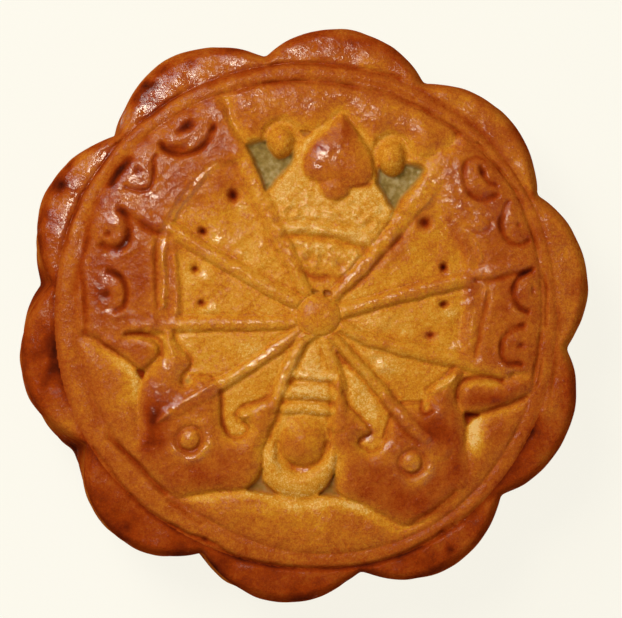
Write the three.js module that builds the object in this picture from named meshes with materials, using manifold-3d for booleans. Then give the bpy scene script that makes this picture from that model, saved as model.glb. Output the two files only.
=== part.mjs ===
// A baked mooncake: one solid, pressed in a ten-lobed mould and baked until the crust has set.
// The mould leaves a butterfly on the top face: a hub with ten radiating veins, two scroll-bordered
// upper wings, two lower wings with eye spots, a ribbed abdomen and a capped head with feelers.
// Millimetres, +Z up, +Y towards the butterfly's head, resting on its flat base at z = 0.

import * as THREE from 'three';
import { mergeVertices } from 'three/addons/utils/BufferGeometryUtils.js';
import Module from 'manifold-3d';

const wasm = await Module();
wasm.setup();

// --- driving dimensions ---------------------------------------------------------------------

const HEIGHT = 32;
const HUB_CREST = 1.5;
const FIELD_CROWN = 0.5;
const FIELD_EDGE = HEIGHT - HUB_CREST - FIELD_CROWN;

// The scalloped wall: clock bearings of the ten notches, the reach of the notch at each of those
// bearings, and the reach of the lobe that follows it clockwise. No two lobes baked alike.
const NOTCH_BEARINGS = [27.5, 63, 97.5, 132.5, 167.5, 203, 239, 277, 314, 351.5];
const NOTCH_REACHES = [36.1, 36.4, 36.9, 37.2, 36.7, 36.0, 36.1, 36.2, 35.9, 36.1];
const LOBE_REACHES = [39.5, 39.9, 40.4, 40.7, 40.2, 40.6, 40.2, 39.8, 40.2, 40.2];
const LOBES = NOTCH_BEARINGS.length;
const STEPS_PER_LOBE = 8;

// The raised ring that frames the butterfly, between its inner and outer groove.
const RING = { x: -0.35, y: -0.15, inner: 31.5, crest: 32.8, outer: 34.2 };

// Relief of the mould: how far each kind of feature stands above the field or sinks into it.
const PLATE = { crest: 0.75, bevel: 0.4 };
const VEIN = { radius: 1.15, crest: 0.95 };
const GROOVE = { radius: 0.55, depth: 0.7 };
const SINK = 1.2;
const RECESS_DEPTH = 1.6;
const NEEDLE = { radius: 0.55, depth: 1.8 };

const HUB = { x: 2.0, y: -0.3, radius: 2.6 };

// Each vein runs from the hub through these points.
const VEINS = [
  [[-5.2, 16.9], [-10.9, 28.9]],
  [[-18.0, 11.4], [-26.4, 14.8]],
  [[-11.4, -1.4], [-23.7, -1.5]],
  [[-11.4, -9.7], [-19.2, -13.7]],
  [[-2.6, -7.8], [-4.6, -15.0]],
  [[4.4, -9.0], [4.0, -14.2]],
  [[12.9, -13.5], [18.9, -18.5]],
  [[15.8, -4.9], [27.0, -7.4]],
  [[10.3, 1.9], [28.2, 6.3]],
  [[13.3, 11.0], [19.8, 22.4]],
];

// Scrolls of the wing borders: centre and the reach of the curled groove around it.
const SCROLLS = [
  [-15.8, 25.2, 3.1],
  [-23.0, 19.8, 3.0],
  [-26.3, 11.0, 2.5],
  [-26.8, 2.9, 2.6],
  [24.6, 18.7, 3.1],
  [28.7, 12.0, 2.6],
  [29.4, 3.2, 2.5],
  [28.9, -4.3, 2.6],
];
const SCROLL_TURN = THREE.MathUtils.degToRad(210);

const NEEDLE_HOLES = [
  [-9.8, 15.9],
  [-13.7, 11.3],
  [-14.7, 6.3],
  [-13.9, 1.5],
  [16.5, 12.4],
  [19.0, 6.5],
  [19.0, 1.4],
  [17.1, -3.0],
];

// Knobs: centre, radius and crest of the feeler tips, the eye spots and the tail bead.
const KNOBS = [
  [-2.7, 23.2, 2.1, 1.0],
  [11.8, 21.3, 2.2, 1.0],
  [-15.5, -16.9, 1.5, 0.7],
  [14.7, -20.4, 1.5, 0.7],
  [-0.3, -17.6, 2.5, 0.9],
  [4.1, 16.9, 1.7, 1.1],
];

const EYES = [[-1.9, 14.0], [8.8, 12.5]];
const EYE = { radius: 1.2, tube: 0.45 };
const BROW = [[-2.2, 11.5], [8.2, 9.7]];
const ABDOMEN = { x: 0.5, top: -8.3, pitch: 1.4, halfWidth: 3.2, ribs: 4, radius: 0.6 };
const TAIL = { x: -0.4, y: -18.4, radius: 3.5, tube: 1.25 };

// Outlines of the raised plates. The wing borders run out to the ring's inner groove.
const CAP = [[5.3, 27.1], [9.5, 20.7], [9.0, 17.6], [-0.5, 18.6], [0.0, 23.3]];
const LEFT_BORDER = {
  from: -20.5,
  to: -97,
  edge: [[-22.7, -7.6], [-20.6, -6.9], [-19.3, -4.8], [-17.4, -1.6], [-17.4, 12.2], [-12.4, 19.9]],
};
const RIGHT_BORDER = {
  from: 106,
  to: 40,
  edge: [[19.2, 20.3], [20.5, 13.5], [23.9, 7.2], [24.4, 3.3], [22.8, -6.2], [21.2, -9.9], [22.2, -12.9]],
};
const LEFT_WING = [
  [-16.3, -8.6],
  [-22.0, -9.2],
  [-23.2, -13.2],
  [-19.3, -24.3],
  [-7.5, -23.8],
  [-5.6, -19.4],
  [-9.2, -16.6],
  [-10.8, -14.6],
  [-11.2, -11.4],
];
const RIGHT_WING = [
  [13.3, -12.2],
  [11.2, -15.8],
  [8.2, -17.6],
  [4.9, -20.5],
  [5.0, -24.3],
  [11.0, -27.6],
  [15.4, -26.8],
  [22.2, -21.0],
  [21.9, -14.2],
  [19.3, -10.5],
  [16.4, -12.4],
];

// Thin-skinned hollows between the feelers, the veins and the tail.
const HOLLOWS = [
  [[-7.4, 22.7], [-2.4, 20.4], [-4.9, 17.6]],
  [[10.6, 18.4], [16.0, 19.8], [12.4, 15.4]],
  [[-6.5, -22.4], [-5.4, -20.6], [-4.9, -23.6]],
  [[3.4, -23.4], [4.1, -21.4], [4.5, -23.9]],
];

// --- measures of the body ---------------------------------------------------------------------

const lerp = THREE.MathUtils.lerp;

/** Point at a distance from the mould's centre, at a clock bearing in degrees. */
function atBearing(reach, bearing, x = 0, y = 0) {
  const angle = THREE.MathUtils.degToRad(bearing);
  return [x + reach * Math.sin(angle), y + reach * Math.cos(angle)];
}

/** Bearing and reach of the wall at a share of the way round, each lobe a circular arc. */
function lobedOutline(share) {
  const place = share * LOBES;
  const lobe = Math.floor(place) % LOBES;
  const along = place - Math.floor(place);
  const next = (lobe + 1) % LOBES;
  const start = NOTCH_BEARINGS[lobe];
  const span = (NOTCH_BEARINGS[next] - start + 360) % 360;
  const halfSpan = THREE.MathUtils.degToRad(span / 2);
  const swing = (2 * along - 1) * halfSpan;
  const notch = lerp(NOTCH_REACHES[lobe], NOTCH_REACHES[next], along);
  const tip = LOBE_REACHES[lobe];
  const centre = (tip * tip - notch * notch) / (2 * (tip - notch * Math.cos(halfSpan)));
  const arc = tip - centre;
  const reach = centre * Math.cos(swing) + Math.sqrt(arc * arc - (centre * Math.sin(swing)) ** 2);
  return { bearing: start + span * along, reach };
}

/** Height of the plain field, a shallow cone that peaks in the middle. */
function fieldHeight(x, y) {
  return FIELD_EDGE + FIELD_CROWN * (1 - Math.hypot(x, y) / RING.inner);
}

/**
 * Half section of the cake from the middle of its top to the middle of its base. A station up to 1
 * is a share of the ring's outer groove radius, and from 1 to 2 it goes from there to the wall.
 */
function halfSection() {
  const stations = [
    [0, 0],
    [1, 0],
    [1.78, 0],
    [1.9, 1.2],
    [1.97, 5],
    [2, 12],
    [1.97, 20],
    [1.86, 24.4],
    [1.66, 26.6],
    [1.34, 27.9],
    [1.1, 28.3],
    [1, 28.1],
  ];
  const ringProfile = [
    [RING.outer - 0.5, FIELD_EDGE - 0.5],
    [RING.crest, FIELD_EDGE + 0.3],
    [RING.inner + 0.4, FIELD_EDGE - 0.3],
    [RING.inner, FIELD_EDGE - 0.6],
    [RING.inner - 0.6, FIELD_EDGE],
  ];
  for (const [radius, height] of ringProfile) {
    stations.push([radius / RING.outer, height]);
  }
  stations.push([0, fieldHeight(0, 0)]);
  stations.reverse();
  return stations.map(([station, height]) => new THREE.Vector2(station, height));
}

// --- solids -----------------------------------------------------------------------------------

/** Closed three.js geometry as a solid that can be joined and cut. */
function solid(geometry) {
  const bare = geometry.clone();
  bare.deleteAttribute('normal');
  bare.deleteAttribute('uv');
  const merged = mergeVertices(bare, 1e-4);
  const corners = merged.index.array;
  const faces = [];
  for (let i = 0; i < corners.length; i += 3) {
    const [a, b, c] = corners.slice(i, i + 3);
    if (a !== b && b !== c && c !== a) {
      faces.push(a, b, c);
    }
  }
  const vertProperties = new Float32Array(merged.attributes.position.array);
  const triVerts = new Uint32Array(faces);
  return new wasm.Manifold(new wasm.Mesh({ numProp: 3, vertProperties, triVerts }));
}

/** The plain lobed cake: a turned half section whose outer part is pulled out to the lobes. */
function cakeBody() {
  const turned = new THREE.LatheGeometry(halfSection(), LOBES * STEPS_PER_LOBE);
  const position = turned.attributes.position;
  const columns = LOBES * STEPS_PER_LOBE;
  const rows = position.count / (columns + 1);
  for (let i = 0; i < position.count; i += 1) {
    const column = Math.floor(i / rows) % columns;
    const outline = lobedOutline(column / columns);
    const station = Math.hypot(position.getX(i), position.getZ(i));
    const height = position.getY(i);
    const inside = Math.min(station, 1) * RING.outer;
    const beyond = Math.max(station - 1, 0);
    const reach = inside + beyond * (outline.reach - RING.outer);
    const shift = Math.min(station, 1) * (2 - Math.max(station, 1));
    const [x, y] = atBearing(reach, outline.bearing, RING.x * shift, RING.y * shift);
    position.setXYZ(i, x, y, height);
  }
  return solid(turned);
}

/** Round-ended ridge or cutting tool along a smooth path, its axis at a height over the field. */
function rod(points, radius, lift, steps) {
  const stops = points.map(([x, y]) => new THREE.Vector3(x, y, fieldHeight(x, y) + lift));
  const path = new THREE.CatmullRomCurve3(stops);
  const section = new THREE.Shape();
  section.absarc(0, 0, radius, 0, 2 * Math.PI);
  const settings = { steps, curveSegments: 6, bevelEnabled: false, extrudePath: path };
  return solid(new THREE.ExtrudeGeometry(section, settings));
}

/** Flattened ball that stands above the field by its crest. */
function knob(x, y, radius, crest) {
  const ball = new THREE.SphereGeometry(radius, 12, 8);
  ball.rotateX(Math.PI / 2);
  ball.scale(1, 1, (crest + SINK) / radius);
  ball.translate(x, y, fieldHeight(x, y) - SINK);
  return solid(ball);
}

/** Raised plate with a softened rim, from its outline. */
function plate(outline, crest) {
  const shape = new THREE.Shape(outline.map(([x, y]) => new THREE.Vector2(x, y)));
  const settings = {
    depth: SINK,
    bevelThickness: PLATE.bevel,
    bevelSize: PLATE.bevel,
    bevelOffset: -PLATE.bevel,
    bevelSegments: 2,
  };
  const slab = new THREE.ExtrudeGeometry(shape, settings);
  const position = slab.attributes.position;
  for (let i = 0; i < position.count; i += 1) {
    const base = fieldHeight(position.getX(i), position.getY(i)) + crest - SINK - PLATE.bevel;
    position.setZ(i, position.getZ(i) + base);
  }
  return solid(slab);
}

/** Outline of a wing border: an arc along the ring, closed by the border's inner edge. */
function borderOutline({ from, to, edge }) {
  const steps = 12;
  const arc = [];
  for (let i = 0; i <= steps; i += 1) {
    arc.push(atBearing(RING.inner - 0.2, lerp(from, to, i / steps), RING.x, RING.y));
  }
  return [...arc, ...edge];
}

/** Curled groove around a scroll's centre, open towards the ring. */
function scrollGroove(x, y, reach) {
  const inward = Math.atan2(RING.y - y, RING.x - x);
  const points = [];
  const steps = 6;
  for (let i = 0; i <= steps; i += 1) {
    const angle = inward + SCROLL_TURN * (i / steps - 0.5);
    points.push([x + reach * Math.cos(angle), y + reach * Math.sin(angle)]);
  }
  return rod(points, GROOVE.radius, PLATE.crest, 8);
}

/** Tapered hole left by a needle, or a wider pit. */
function needleHole(x, y, radius, top, depth) {
  const proud = 0.6;
  const tool = new THREE.CylinderGeometry(radius, radius * 0.6, depth + proud, 8);
  tool.rotateX(Math.PI / 2);
  tool.translate(x, y, fieldHeight(x, y) + top + (proud - depth) / 2);
  return solid(tool);
}

/** Three-sided hollow where the dough stayed thin. */
function hollow(outline) {
  const shape = new THREE.Shape(outline.map(([x, y]) => new THREE.Vector2(x, y)));
  const tool = new THREE.ExtrudeGeometry(shape, { depth: 4, bevelEnabled: false });
  tool.translate(0, 0, FIELD_EDGE - RECESS_DEPTH);
  return solid(tool);
}

/** Small raised ring around an eye. */
function eyeRing([x, y]) {
  const ring = new THREE.TorusGeometry(EYE.radius, EYE.tube, 6, 12);
  ring.translate(x, y, fieldHeight(x, y));
  return solid(ring);
}

/** The U-shaped end of the abdomen, open towards the hub. */
function tailLoop() {
  const points = [];
  for (let turn = 190; turn <= 350; turn += 20) {
    const angle = THREE.MathUtils.degToRad(turn);
    points.push([TAIL.x + TAIL.radius * Math.cos(angle), TAIL.y + TAIL.radius * Math.sin(angle)]);
  }
  return rod(points, TAIL.tube, -0.4, 12);
}

// --- the cake ---------------------------------------------------------------------------------

function raisedFeatures() {
  const parts = [
    plate(CAP, PLATE.crest + 0.1),
    plate(borderOutline(LEFT_BORDER), PLATE.crest),
    plate(borderOutline(RIGHT_BORDER), PLATE.crest),
    plate(LEFT_WING, PLATE.crest - 0.05),
    plate(RIGHT_WING, PLATE.crest - 0.05),
    tailLoop(),
    rod(BROW, 0.7, -0.1, 2),
  ];
  for (const points of VEINS) {
    parts.push(rod([[HUB.x, HUB.y], ...points], VEIN.radius, VEIN.crest - VEIN.radius, 3));
  }
  for (const [x, y, radius, crest] of KNOBS) {
    parts.push(knob(x, y, radius, crest));
  }
  for (let i = 0; i < ABDOMEN.ribs; i += 1) {
    const y = ABDOMEN.top - i * ABDOMEN.pitch;
    const rib = [[ABDOMEN.x - ABDOMEN.halfWidth, y], [ABDOMEN.x + ABDOMEN.halfWidth, y]];
    parts.push(rod(rib, ABDOMEN.radius, -0.1, 1));
  }
  parts.push(...EYES.map(eyeRing));
  parts.push(knob(HUB.x, HUB.y, HUB.radius, HUB_CREST));
  return parts;
}

function sunkFeatures() {
  const parts = HOLLOWS.map(hollow);
  for (const [x, y, reach] of SCROLLS) {
    parts.push(scrollGroove(x, y, reach));
    parts.push(needleHole(x, y, NEEDLE.radius * 1.5, PLATE.crest, GROOVE.depth));
  }
  for (const [x, y] of NEEDLE_HOLES) {
    parts.push(needleHole(x, y, NEEDLE.radius, 0, NEEDLE.depth));
  }
  return parts;
}

function mooncakeGeometry() {
  let cake = cakeBody();
  for (const part of raisedFeatures()) {
    cake = cake.add(part);
  }
  for (const part of sunkFeatures()) {
    cake = cake.subtract(part);
  }
  const mesh = cake.getMesh();
  const geometry = new THREE.BufferGeometry();
  geometry.setAttribute('position', new THREE.BufferAttribute(mesh.vertProperties, 3));
  geometry.setIndex(new THREE.BufferAttribute(mesh.triVerts, 1));
  geometry.computeBoundingBox();
  const middle = geometry.boundingBox.getCenter(new THREE.Vector3());
  geometry.translate(-middle.x, -middle.y, 0);
  geometry.computeVertexNormals();
  return geometry;
}

const crust = new THREE.MeshStandardMaterial({ color: 0xb5651d, roughness: 0.38, metalness: 0 });

const mooncake = new THREE.Mesh(mooncakeGeometry(), crust);
mooncake.name = 'mooncake';

const part = new THREE.Group();
part.add(mooncake);

export default part;
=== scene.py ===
import math

import bmesh
import bpy
import numpy as np
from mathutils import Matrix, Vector


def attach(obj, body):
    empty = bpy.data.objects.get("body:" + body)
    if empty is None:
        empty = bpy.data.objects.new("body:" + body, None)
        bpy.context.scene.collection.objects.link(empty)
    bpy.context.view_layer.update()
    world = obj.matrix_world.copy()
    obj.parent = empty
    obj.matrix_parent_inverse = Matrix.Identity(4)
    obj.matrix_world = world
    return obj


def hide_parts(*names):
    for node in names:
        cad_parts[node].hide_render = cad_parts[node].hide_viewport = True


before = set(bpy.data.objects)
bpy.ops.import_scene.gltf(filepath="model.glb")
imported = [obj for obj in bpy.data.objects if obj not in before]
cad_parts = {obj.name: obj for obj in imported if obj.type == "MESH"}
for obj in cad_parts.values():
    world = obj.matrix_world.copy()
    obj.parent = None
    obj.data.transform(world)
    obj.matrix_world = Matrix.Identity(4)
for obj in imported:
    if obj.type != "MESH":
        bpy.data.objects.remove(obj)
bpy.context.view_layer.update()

# --- The wall and the lobes -----------------------------------------------------------------------
# Soft dough round a ball of filling, pressed in a ten-lobed mould and knocked out on a tray. The lobes
# spread a little unevenly as they bake and lean over the wall; the tray keeps the base flat.
# All lengths are millimetres from the middle of the mould; bearings run clockwise from the head.
NOTCH_BEARINGS = [27.5, 63, 97.5, 132.5, 167.5, 203, 239, 277, 314, 351.5]
NOTCH_REACHES = [35.6, 35.9, 36.4, 36.7, 36.2, 35.5, 34.6, 34.8, 35.4, 35.6]
LOBE_REACHES = [38.9, 39.3, 39.8, 40.1, 39.6, 40.0, 39.6, 39.2, 39.6, 39.6]
NOTCH_BLUR = 0.5        # degrees by which a notch is rounded
PLAIN = 29.4            # the low ground of the wings at the ring; the relief is measured from here
LOBE_FLAT = 0.55        # share of a lobe's skin before its rim
LOBE_SWELL = (0.10, 0.5)    # how far a lobe swells above the line at the ring, and how soon
# How far a lobe sinks over its first 5 mm, at equal steps of bearing.
LOBE_FALL = [0.6, 0.5, 0.5, 0.5, 0.6, 0.7, 0.7, 0.7, 0.6, 0.9, 1.3, 1.2]
FALL_WIDTH = 5
RIM = (1.7, 3.8)        # the rounded rim of a lobe: breadth and height
RIM_SHARE = 0.8         # the most that the rim takes of a narrow lobe
# The wall and the turn of its foot: share of the outline, share of the way down.
FOOT = [(1, 0), (1, 0.45), (0.985, 0.72), (0.962, 0.87), (0.945, 0.945), (0.92, 0.985), (0.88, 1.0)]
FLUTE_LOSS = (0.25, 1.10)   # share of a flute's depth that is filled at the foot, generally and at the left
FULL_SIDE = (256, 26)   # bearing and breadth of that fuller left side
FOOT_SPREAD = 0.4       # how far the filled flutes stand out beyond the mean outline
WALL_STEP = 0.6         # millimetres of the wall in one degree of bearing
LEAN = (-1.3, -0.3)     # how far the foot of the cake lies from under its top
LEAN_HEIGHTS = (26, 8)  # the lean grows between these heights
# The cake is darker on the rims, where it browned more and where painted shade stands for the rims turning
# from the lamp, and darker at the foot; the flutes carry painted shade, most on the left side.
LOBE_BROWN = [0.57, 0.58, 0.54, 0.53, 0.71, 0.73, 0.75, 0.75, 0.66, 0.70, 0.60, 0.60]
WALL_BROWN = 0.56
BASE_BROWN = 0.74
# The rims are darker, partly browned more and partly painted shade where they turn away from the lamp.
RIM_BROWN_AND_SHADE = 0.12
# Painted shade in the crease between the ring and the lobes.
CREASE_SHADE = 0.08
FOOT_BROWN = 0.16
# Painted shade in the flutes: generally, and more at the left, where the lower wall stands in shade beyond
# the notches.
FLUTE_SHADE = (0.12, 0.31)  # generally, and more at the left
SHADED_LEFT_FLUTES = (258, 30)     # their bearing and breadth
LOBE_END = (28.4, 23.0)     # the look of the lobes gives way to that of the wall between these heights
WALL_END = (0.6, 0.0)   # and that of the wall to that of the base
# The egg wash on the lobes: everywhere, and how much more in the upper half, the upper left and the right.
LOBE_WASH = (0.13, 0.07, 0.46, 0.16)
BURNT = 0.74            # crust that is browner than this shines less
# Browner places on the lobes, or paler ones for a negative amount: place, radii, amount, turn.
SIDE_PATCHES = [
    ((-34.8, -7.6), (2.8, 5.6), 0.20, -15), ((-37.0, 11.0), (1.6, 3.0), 0.14, -15),
    ((-33.4, 17.6), (1.2, 1.5), 0.26, -30), ((-32.4, 20.4), (0.8, 0.7), 0.16, 0),
    ((-21.2, 31.4), (1.5, 1.0), 0.28, 30), ((-19.2, 33.4), (1.3, 0.6), 0.22, 30),
    ((-15.2, 34.4), (1.0, 0.8), 0.16, 0), ((-12.0, 35.6), (3.4, 0.7), 0.14, 8),
    ((-23.0, 29.2), (0.7, 1.0), 0.10, 0), ((-35.0, 13.4), (0.9, 1.4), 0.12, 0),
    ((-19.0, 32.4), (2.6, 1.0), 0.12, 20), ((6.0, 37.0), (5.5, 1.2), 0.12, -8),
    ((-37.2, -2.0), (1.2, 1.8), -0.10, 0), ((19.9, -32.0), (0.6, 0.6), 0.24, 0),
    ((30.5, 24.0), (1.4, 3.0), 0.08, 40), ((37.0, 8.0), (1.2, 4.0), 0.06, 0),
    ((36.6, -13.0), (2.0, 4.0), 0.08, 10), ((-13.0, -35.0), (4.0, 1.6), 0.05, 15),
]
SWELL_WAVES = 14
SWELL_LENGTHS = (1.4, 3.4)  # the shortest and the longest wave of a swell, for bumps of size 1


def ease(low, high, value):
    """0 on the low side and 1 from high on, with a smooth way between. Either may be the greater."""
    t = np.clip((value - low) / (high - low), 0, 1)
    return t * t * (3 - 2 * t)


def bell(distance, width):
    """A soft section: 1 in the middle, and nearly nothing at twice the width."""
    return np.exp(-(distance / width)**2)


def swell(x, y, size, seed):
    """Gentle unevenness about +-1, with bumps of about the given size."""
    draw = np.random.default_rng(seed)
    total = np.zeros_like(x)
    for _ in range(SWELL_WAVES):
        turn = draw.uniform(0, math.tau)
        pace = math.tau / (size * draw.uniform(*SWELL_LENGTHS))
        total += np.sin(pace * (x * math.cos(turn) + y * math.sin(turn)) + draw.uniform(0, math.tau))
    return total / math.sqrt(SWELL_WAVES)


def between(a, b, c, d, t):
    """The smooth way from b (t = 0) to c (t = 1), with a before them and d after."""
    swing = (2 * a - 5 * b + 4 * c - d) * t**2 + (3 * b - a - 3 * c + d) * t**3
    return 0.5 * (2 * b + (c - a) * t + swing)


def round_the_cake(bearing, values):
    """Values given at equal steps of bearing, smoothly joined."""
    v = np.array(values, float)
    u = (bearing % 360) / 360 * len(v)
    i = np.floor(u).astype(int)
    a, b, c, d = (v[(i + k) % len(v)] for k in (-1, 0, 1, 2))
    return between(a, b, c, d, u - i)


def off_centre(x, y, centre, radii, turn=0.0):
    """Distance from a centre, 1 on the ellipse of the given radii."""
    dx, dy = x - centre[0], y - centre[1]
    c, s = math.cos(math.radians(turn)), math.sin(math.radians(turn))
    return np.hypot((dx * c + dy * s) / radii[0], (dy * c - dx * s) / radii[1])


def lobe_reach(bearing):
    """How far the lobed outline reaches: each lobe is an arc from notch to notch."""
    start = np.array(NOTCH_BEARINGS + [NOTCH_BEARINGS[0] + 360.0])
    reach = np.array(NOTCH_REACHES + [NOTCH_REACHES[0]])
    b = (bearing - start[0]) % 360 + start[0]
    i = np.clip(np.searchsorted(start, b, side="right") - 1, 0, len(NOTCH_BEARINGS) - 1)
    span = start[i + 1] - start[i]
    t = (b - start[i]) / span
    half = np.radians(span / 2)
    swing = (2 * t - 1) * half
    notch = reach[i] + (reach[i + 1] - reach[i]) * t
    tip = np.array(LOBE_REACHES)[i]
    centre = (tip**2 - notch**2) / (2 * (tip - notch * np.cos(half)))
    arc = tip - centre
    return centre * np.cos(swing) + np.sqrt(arc**2 - (centre * np.sin(swing))**2)


def soft_reach(bearing):
    """The outline with its notches a little rounded."""
    return (lobe_reach(bearing - NOTCH_BLUR) + lobe_reach(bearing) + lobe_reach(bearing + NOTCH_BLUR)) / 3


def lobe_section(t, crease, reach, start, sink):
    """Reach and height over a lobe, from the crease (t = 0) to the foot of its rim (t = 1)."""
    breadth = np.minimum(RIM[0], RIM_SHARE * (reach - crease))
    turn = np.clip((t - LOBE_FLAT) / (1 - LOBE_FLAT), 0, 1) * math.pi / 2
    flat = (reach - breadth - crease) * np.clip(t / LOBE_FLAT, 0, 1)
    radius = crease + flat + breadth * np.sin(turn)
    rise = LOBE_SWELL[0] * (1 - np.exp(-flat / LOBE_SWELL[1]))
    top = PLAIN + start + rise - sink * (flat / FALL_WIDTH)**2
    return radius, top - RIM[1] * (1 - np.cos(turn))


def wall_section(down, reach, bearing):
    """Reach of the wall, from under the rim (down = 0) to the tray (down = 1)."""
    loss = FLUTE_LOSS[0] + (FLUTE_LOSS[1] - FLUTE_LOSS[0]) * bell(bearing - FULL_SIDE[0], FULL_SIDE[1])
    filled = reach + (np.mean(reach) + FOOT_SPREAD - reach) * loss * ease(0.0, 0.9, down)
    shares, depths = np.array(FOOT).T
    return filled * np.interp(down, depths, shares)


def bake_sides(face, on_face, x, y, from_rim, from_crease, bearing):
    """How the lobes, the wall and the base browned, with painted shade in the crease and the flutes and
    partly on the rims, and how the egg wash ran over them.
    """
    z = face.z
    lobe = round_the_cake(bearing, LOBE_BROWN) + 0.07 * swell(x, y, 4, 31)
    # Darker rims, partly browning and partly painted shade; painted shade in the crease by the ring.
    lobe += RIM_BROWN_AND_SHADE * bell(from_rim, 0.8) * ease(25, 28, z) + CREASE_SHADE * bell(from_crease, 0.35)
    uneven = 1 + 0.4 * swell(x, y, 1.2, 34)
    for centre, radii, amount, turn in SIDE_PATCHES:
        lobe += amount * bell(off_centre(x, y, centre, radii, turn), 1) * uneven * ease(24, 28, z)
    flute = np.abs((bearing[:, None] - np.array(NOTCH_BEARINGS) + 180) % 360 - 180).min(axis=1)
    shade_at_left = np.exp(-((bearing - SHADED_LEFT_FLUTES[0]) / SHADED_LEFT_FLUTES[1])**4)
    wall = WALL_BROWN + 0.04 * swell(bearing * WALL_STEP, z, 6, 32) + FOOT_BROWN * ease(7, 1, z)
    # Painted shade in the flutes, most in those of the left side.
    wall += FLUTE_SHADE[0] * ease(10, 1, flute) * ease(4, 16, z)
    wall += FLUTE_SHADE[1] * shade_at_left * ease(8, 0, flute) * ease(26, 12, z)
    base = BASE_BROWN + 0.05 * swell(x, y, 6, 33)
    side = lobe + (wall - lobe) * ease(*LOBE_END, z)
    side = side + (base - side) * ease(*WALL_END, z)
    face.brown_and_painted_light = np.where(on_face, face.brown_and_painted_light, side)
    wash = LOBE_WASH[0] + LOBE_WASH[1] * ease(-20, 0, y)
    wash += LOBE_WASH[2] * ease(0.35, 0.8, (y - x) / 50) * ease(-4, 8, y)
    wash += LOBE_WASH[3] * ease(10, 30, x) * ease(-6, 6, y)
    wash *= ease(0.9, 2.2, from_rim) * ease(24, 26, z)
    face.gloss = np.where(on_face, face.gloss, wash) - 3.0 * np.clip(face.brown_and_painted_light - BURNT, 0, 1)
    face.paste = np.where(on_face, face.paste, 0)


# --- The moulded face, its ground, veins and hub ------------------------------------------------------
# The mould is carved with a butterfly: the face takes every line of it, softened by the oven. Its ground
# is plain between ten veins from a round hub, and puffed up in four crescents round the butterfly. Each
# tool below works the face in one way, and sets how far it browned there; lines, holes, valleys and
# creases also get painted shade, and beads and lumps a painted highlight.
WANDER = [(0.10, 5.0, 1, 2), (0.05, 1.2, 8, 9)]     # how far the moulded lines stray, bump size, seeds
WAVER = (0.3, 1.8)      # how unevenly a pressed line comes out, over what size
THIN_WASH = 0.11        # the egg wash that lies on all of the face
PLUMPNESS = 0.72        # the power that rounds a plump edge; lower is rounder
RIB = (1.18, 0.8)       # a rib's section: its reach in half widths, and the power that rounds it
VALLEY = (1.24, 0.26)   # the valley beside a rib: its place in half widths, and its breadth
GROOVE_DRYING = 0.8     # how much egg wash a pressed line loses with its depth
BEAD_WETTING = 1.2      # and how much a raised bead gains with its height
PATCH_REACH = 2.4       # a soft patch is worked as far as this many radii
# The slope of a wet facet at the middle that mirrors the lamp, and its change per millimetre.
GLINT_SLOPE = (0.094, -0.120)
GLINT_CHANGE = (0.0021, 0.0016)
GLINT_WASH = 2.0


def dome(distance):
    """A low rounded section: 1 in the middle, 0 at distance 1."""
    return np.clip(1 - distance**2, 0, 1)


def shoulder(depth, width):
    """A plump edge: 0 at the edge, rising in a quarter round to 1 at the given width."""
    t = np.clip(depth / width, 0, 1)
    return (t * (2 - t))**PLUMPNESS * ease(-0.15, 0.45, depth)


def soft_max(a, b, soft):
    """The higher of two heights, with the join between them rounded."""
    h = np.clip(0.5 + 0.5 * (a - b) / soft, 0, 1)
    return b + (a - b) * h + soft * h * (1 - h)


def curve(points, closed=False, steps=5):
    """A smooth line through the points."""
    p = np.array(points, float)
    if closed:
        p = np.vstack([p[-1], p, p[0], p[1]])
    else:
        p = np.vstack([2 * p[0] - p[1], p, 2 * p[-1] - p[-2]])
    t = np.linspace(0, 1, steps, endpoint=False)[:, None]
    pieces = [between(a, b, c, d, t) for a, b, c, d in zip(p, p[1:], p[2:], p[3:])]
    return np.vstack(pieces if closed else pieces + [p[-2:-1]])


def from_line(x, y, line):
    """Distance to a line, and the share of its length at the nearest place."""
    steps = np.hypot(*(line[1:] - line[:-1]).T)
    nearest = np.full(x.shape, np.inf)
    along = np.zeros(x.shape)
    done = 0.0
    for (ax, ay), (bx, by), length in zip(line[:-1], line[1:], steps):
        dx, dy = (bx - ax) / length, (by - ay) / length
        t = np.clip((x - ax) * dx + (y - ay) * dy, 0, length)
        distance = np.hypot(x - ax - t * dx, y - ay - t * dy)
        closer = distance < nearest
        nearest = np.where(closer, distance, nearest)
        along = np.where(closer, (done + t) / steps.sum(), along)
        done += length
    return nearest, along


def depth_inside(x, y, outline):
    """Distance to a closed outline: positive inside, negative outside."""
    nearest = np.full(x.shape, np.inf)
    inside = np.zeros(x.shape, bool)
    for (ax, ay), (bx, by) in zip(outline, np.roll(outline, -1, axis=0)):
        ex, ey = bx - ax, by - ay
        t = np.clip(((x - ax) * ex + (y - ay) * ey) / (ex * ex + ey * ey), 0, 1)
        nearest = np.minimum(nearest, np.hypot(x - ax - t * ex, y - ay - t * ey))
        if ay != by:
            inside ^= ((ay > y) != (by > y)) & (x < ex * (y - ay) / (by - ay) + ax)
    return np.where(inside, nearest, -nearest)


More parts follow.
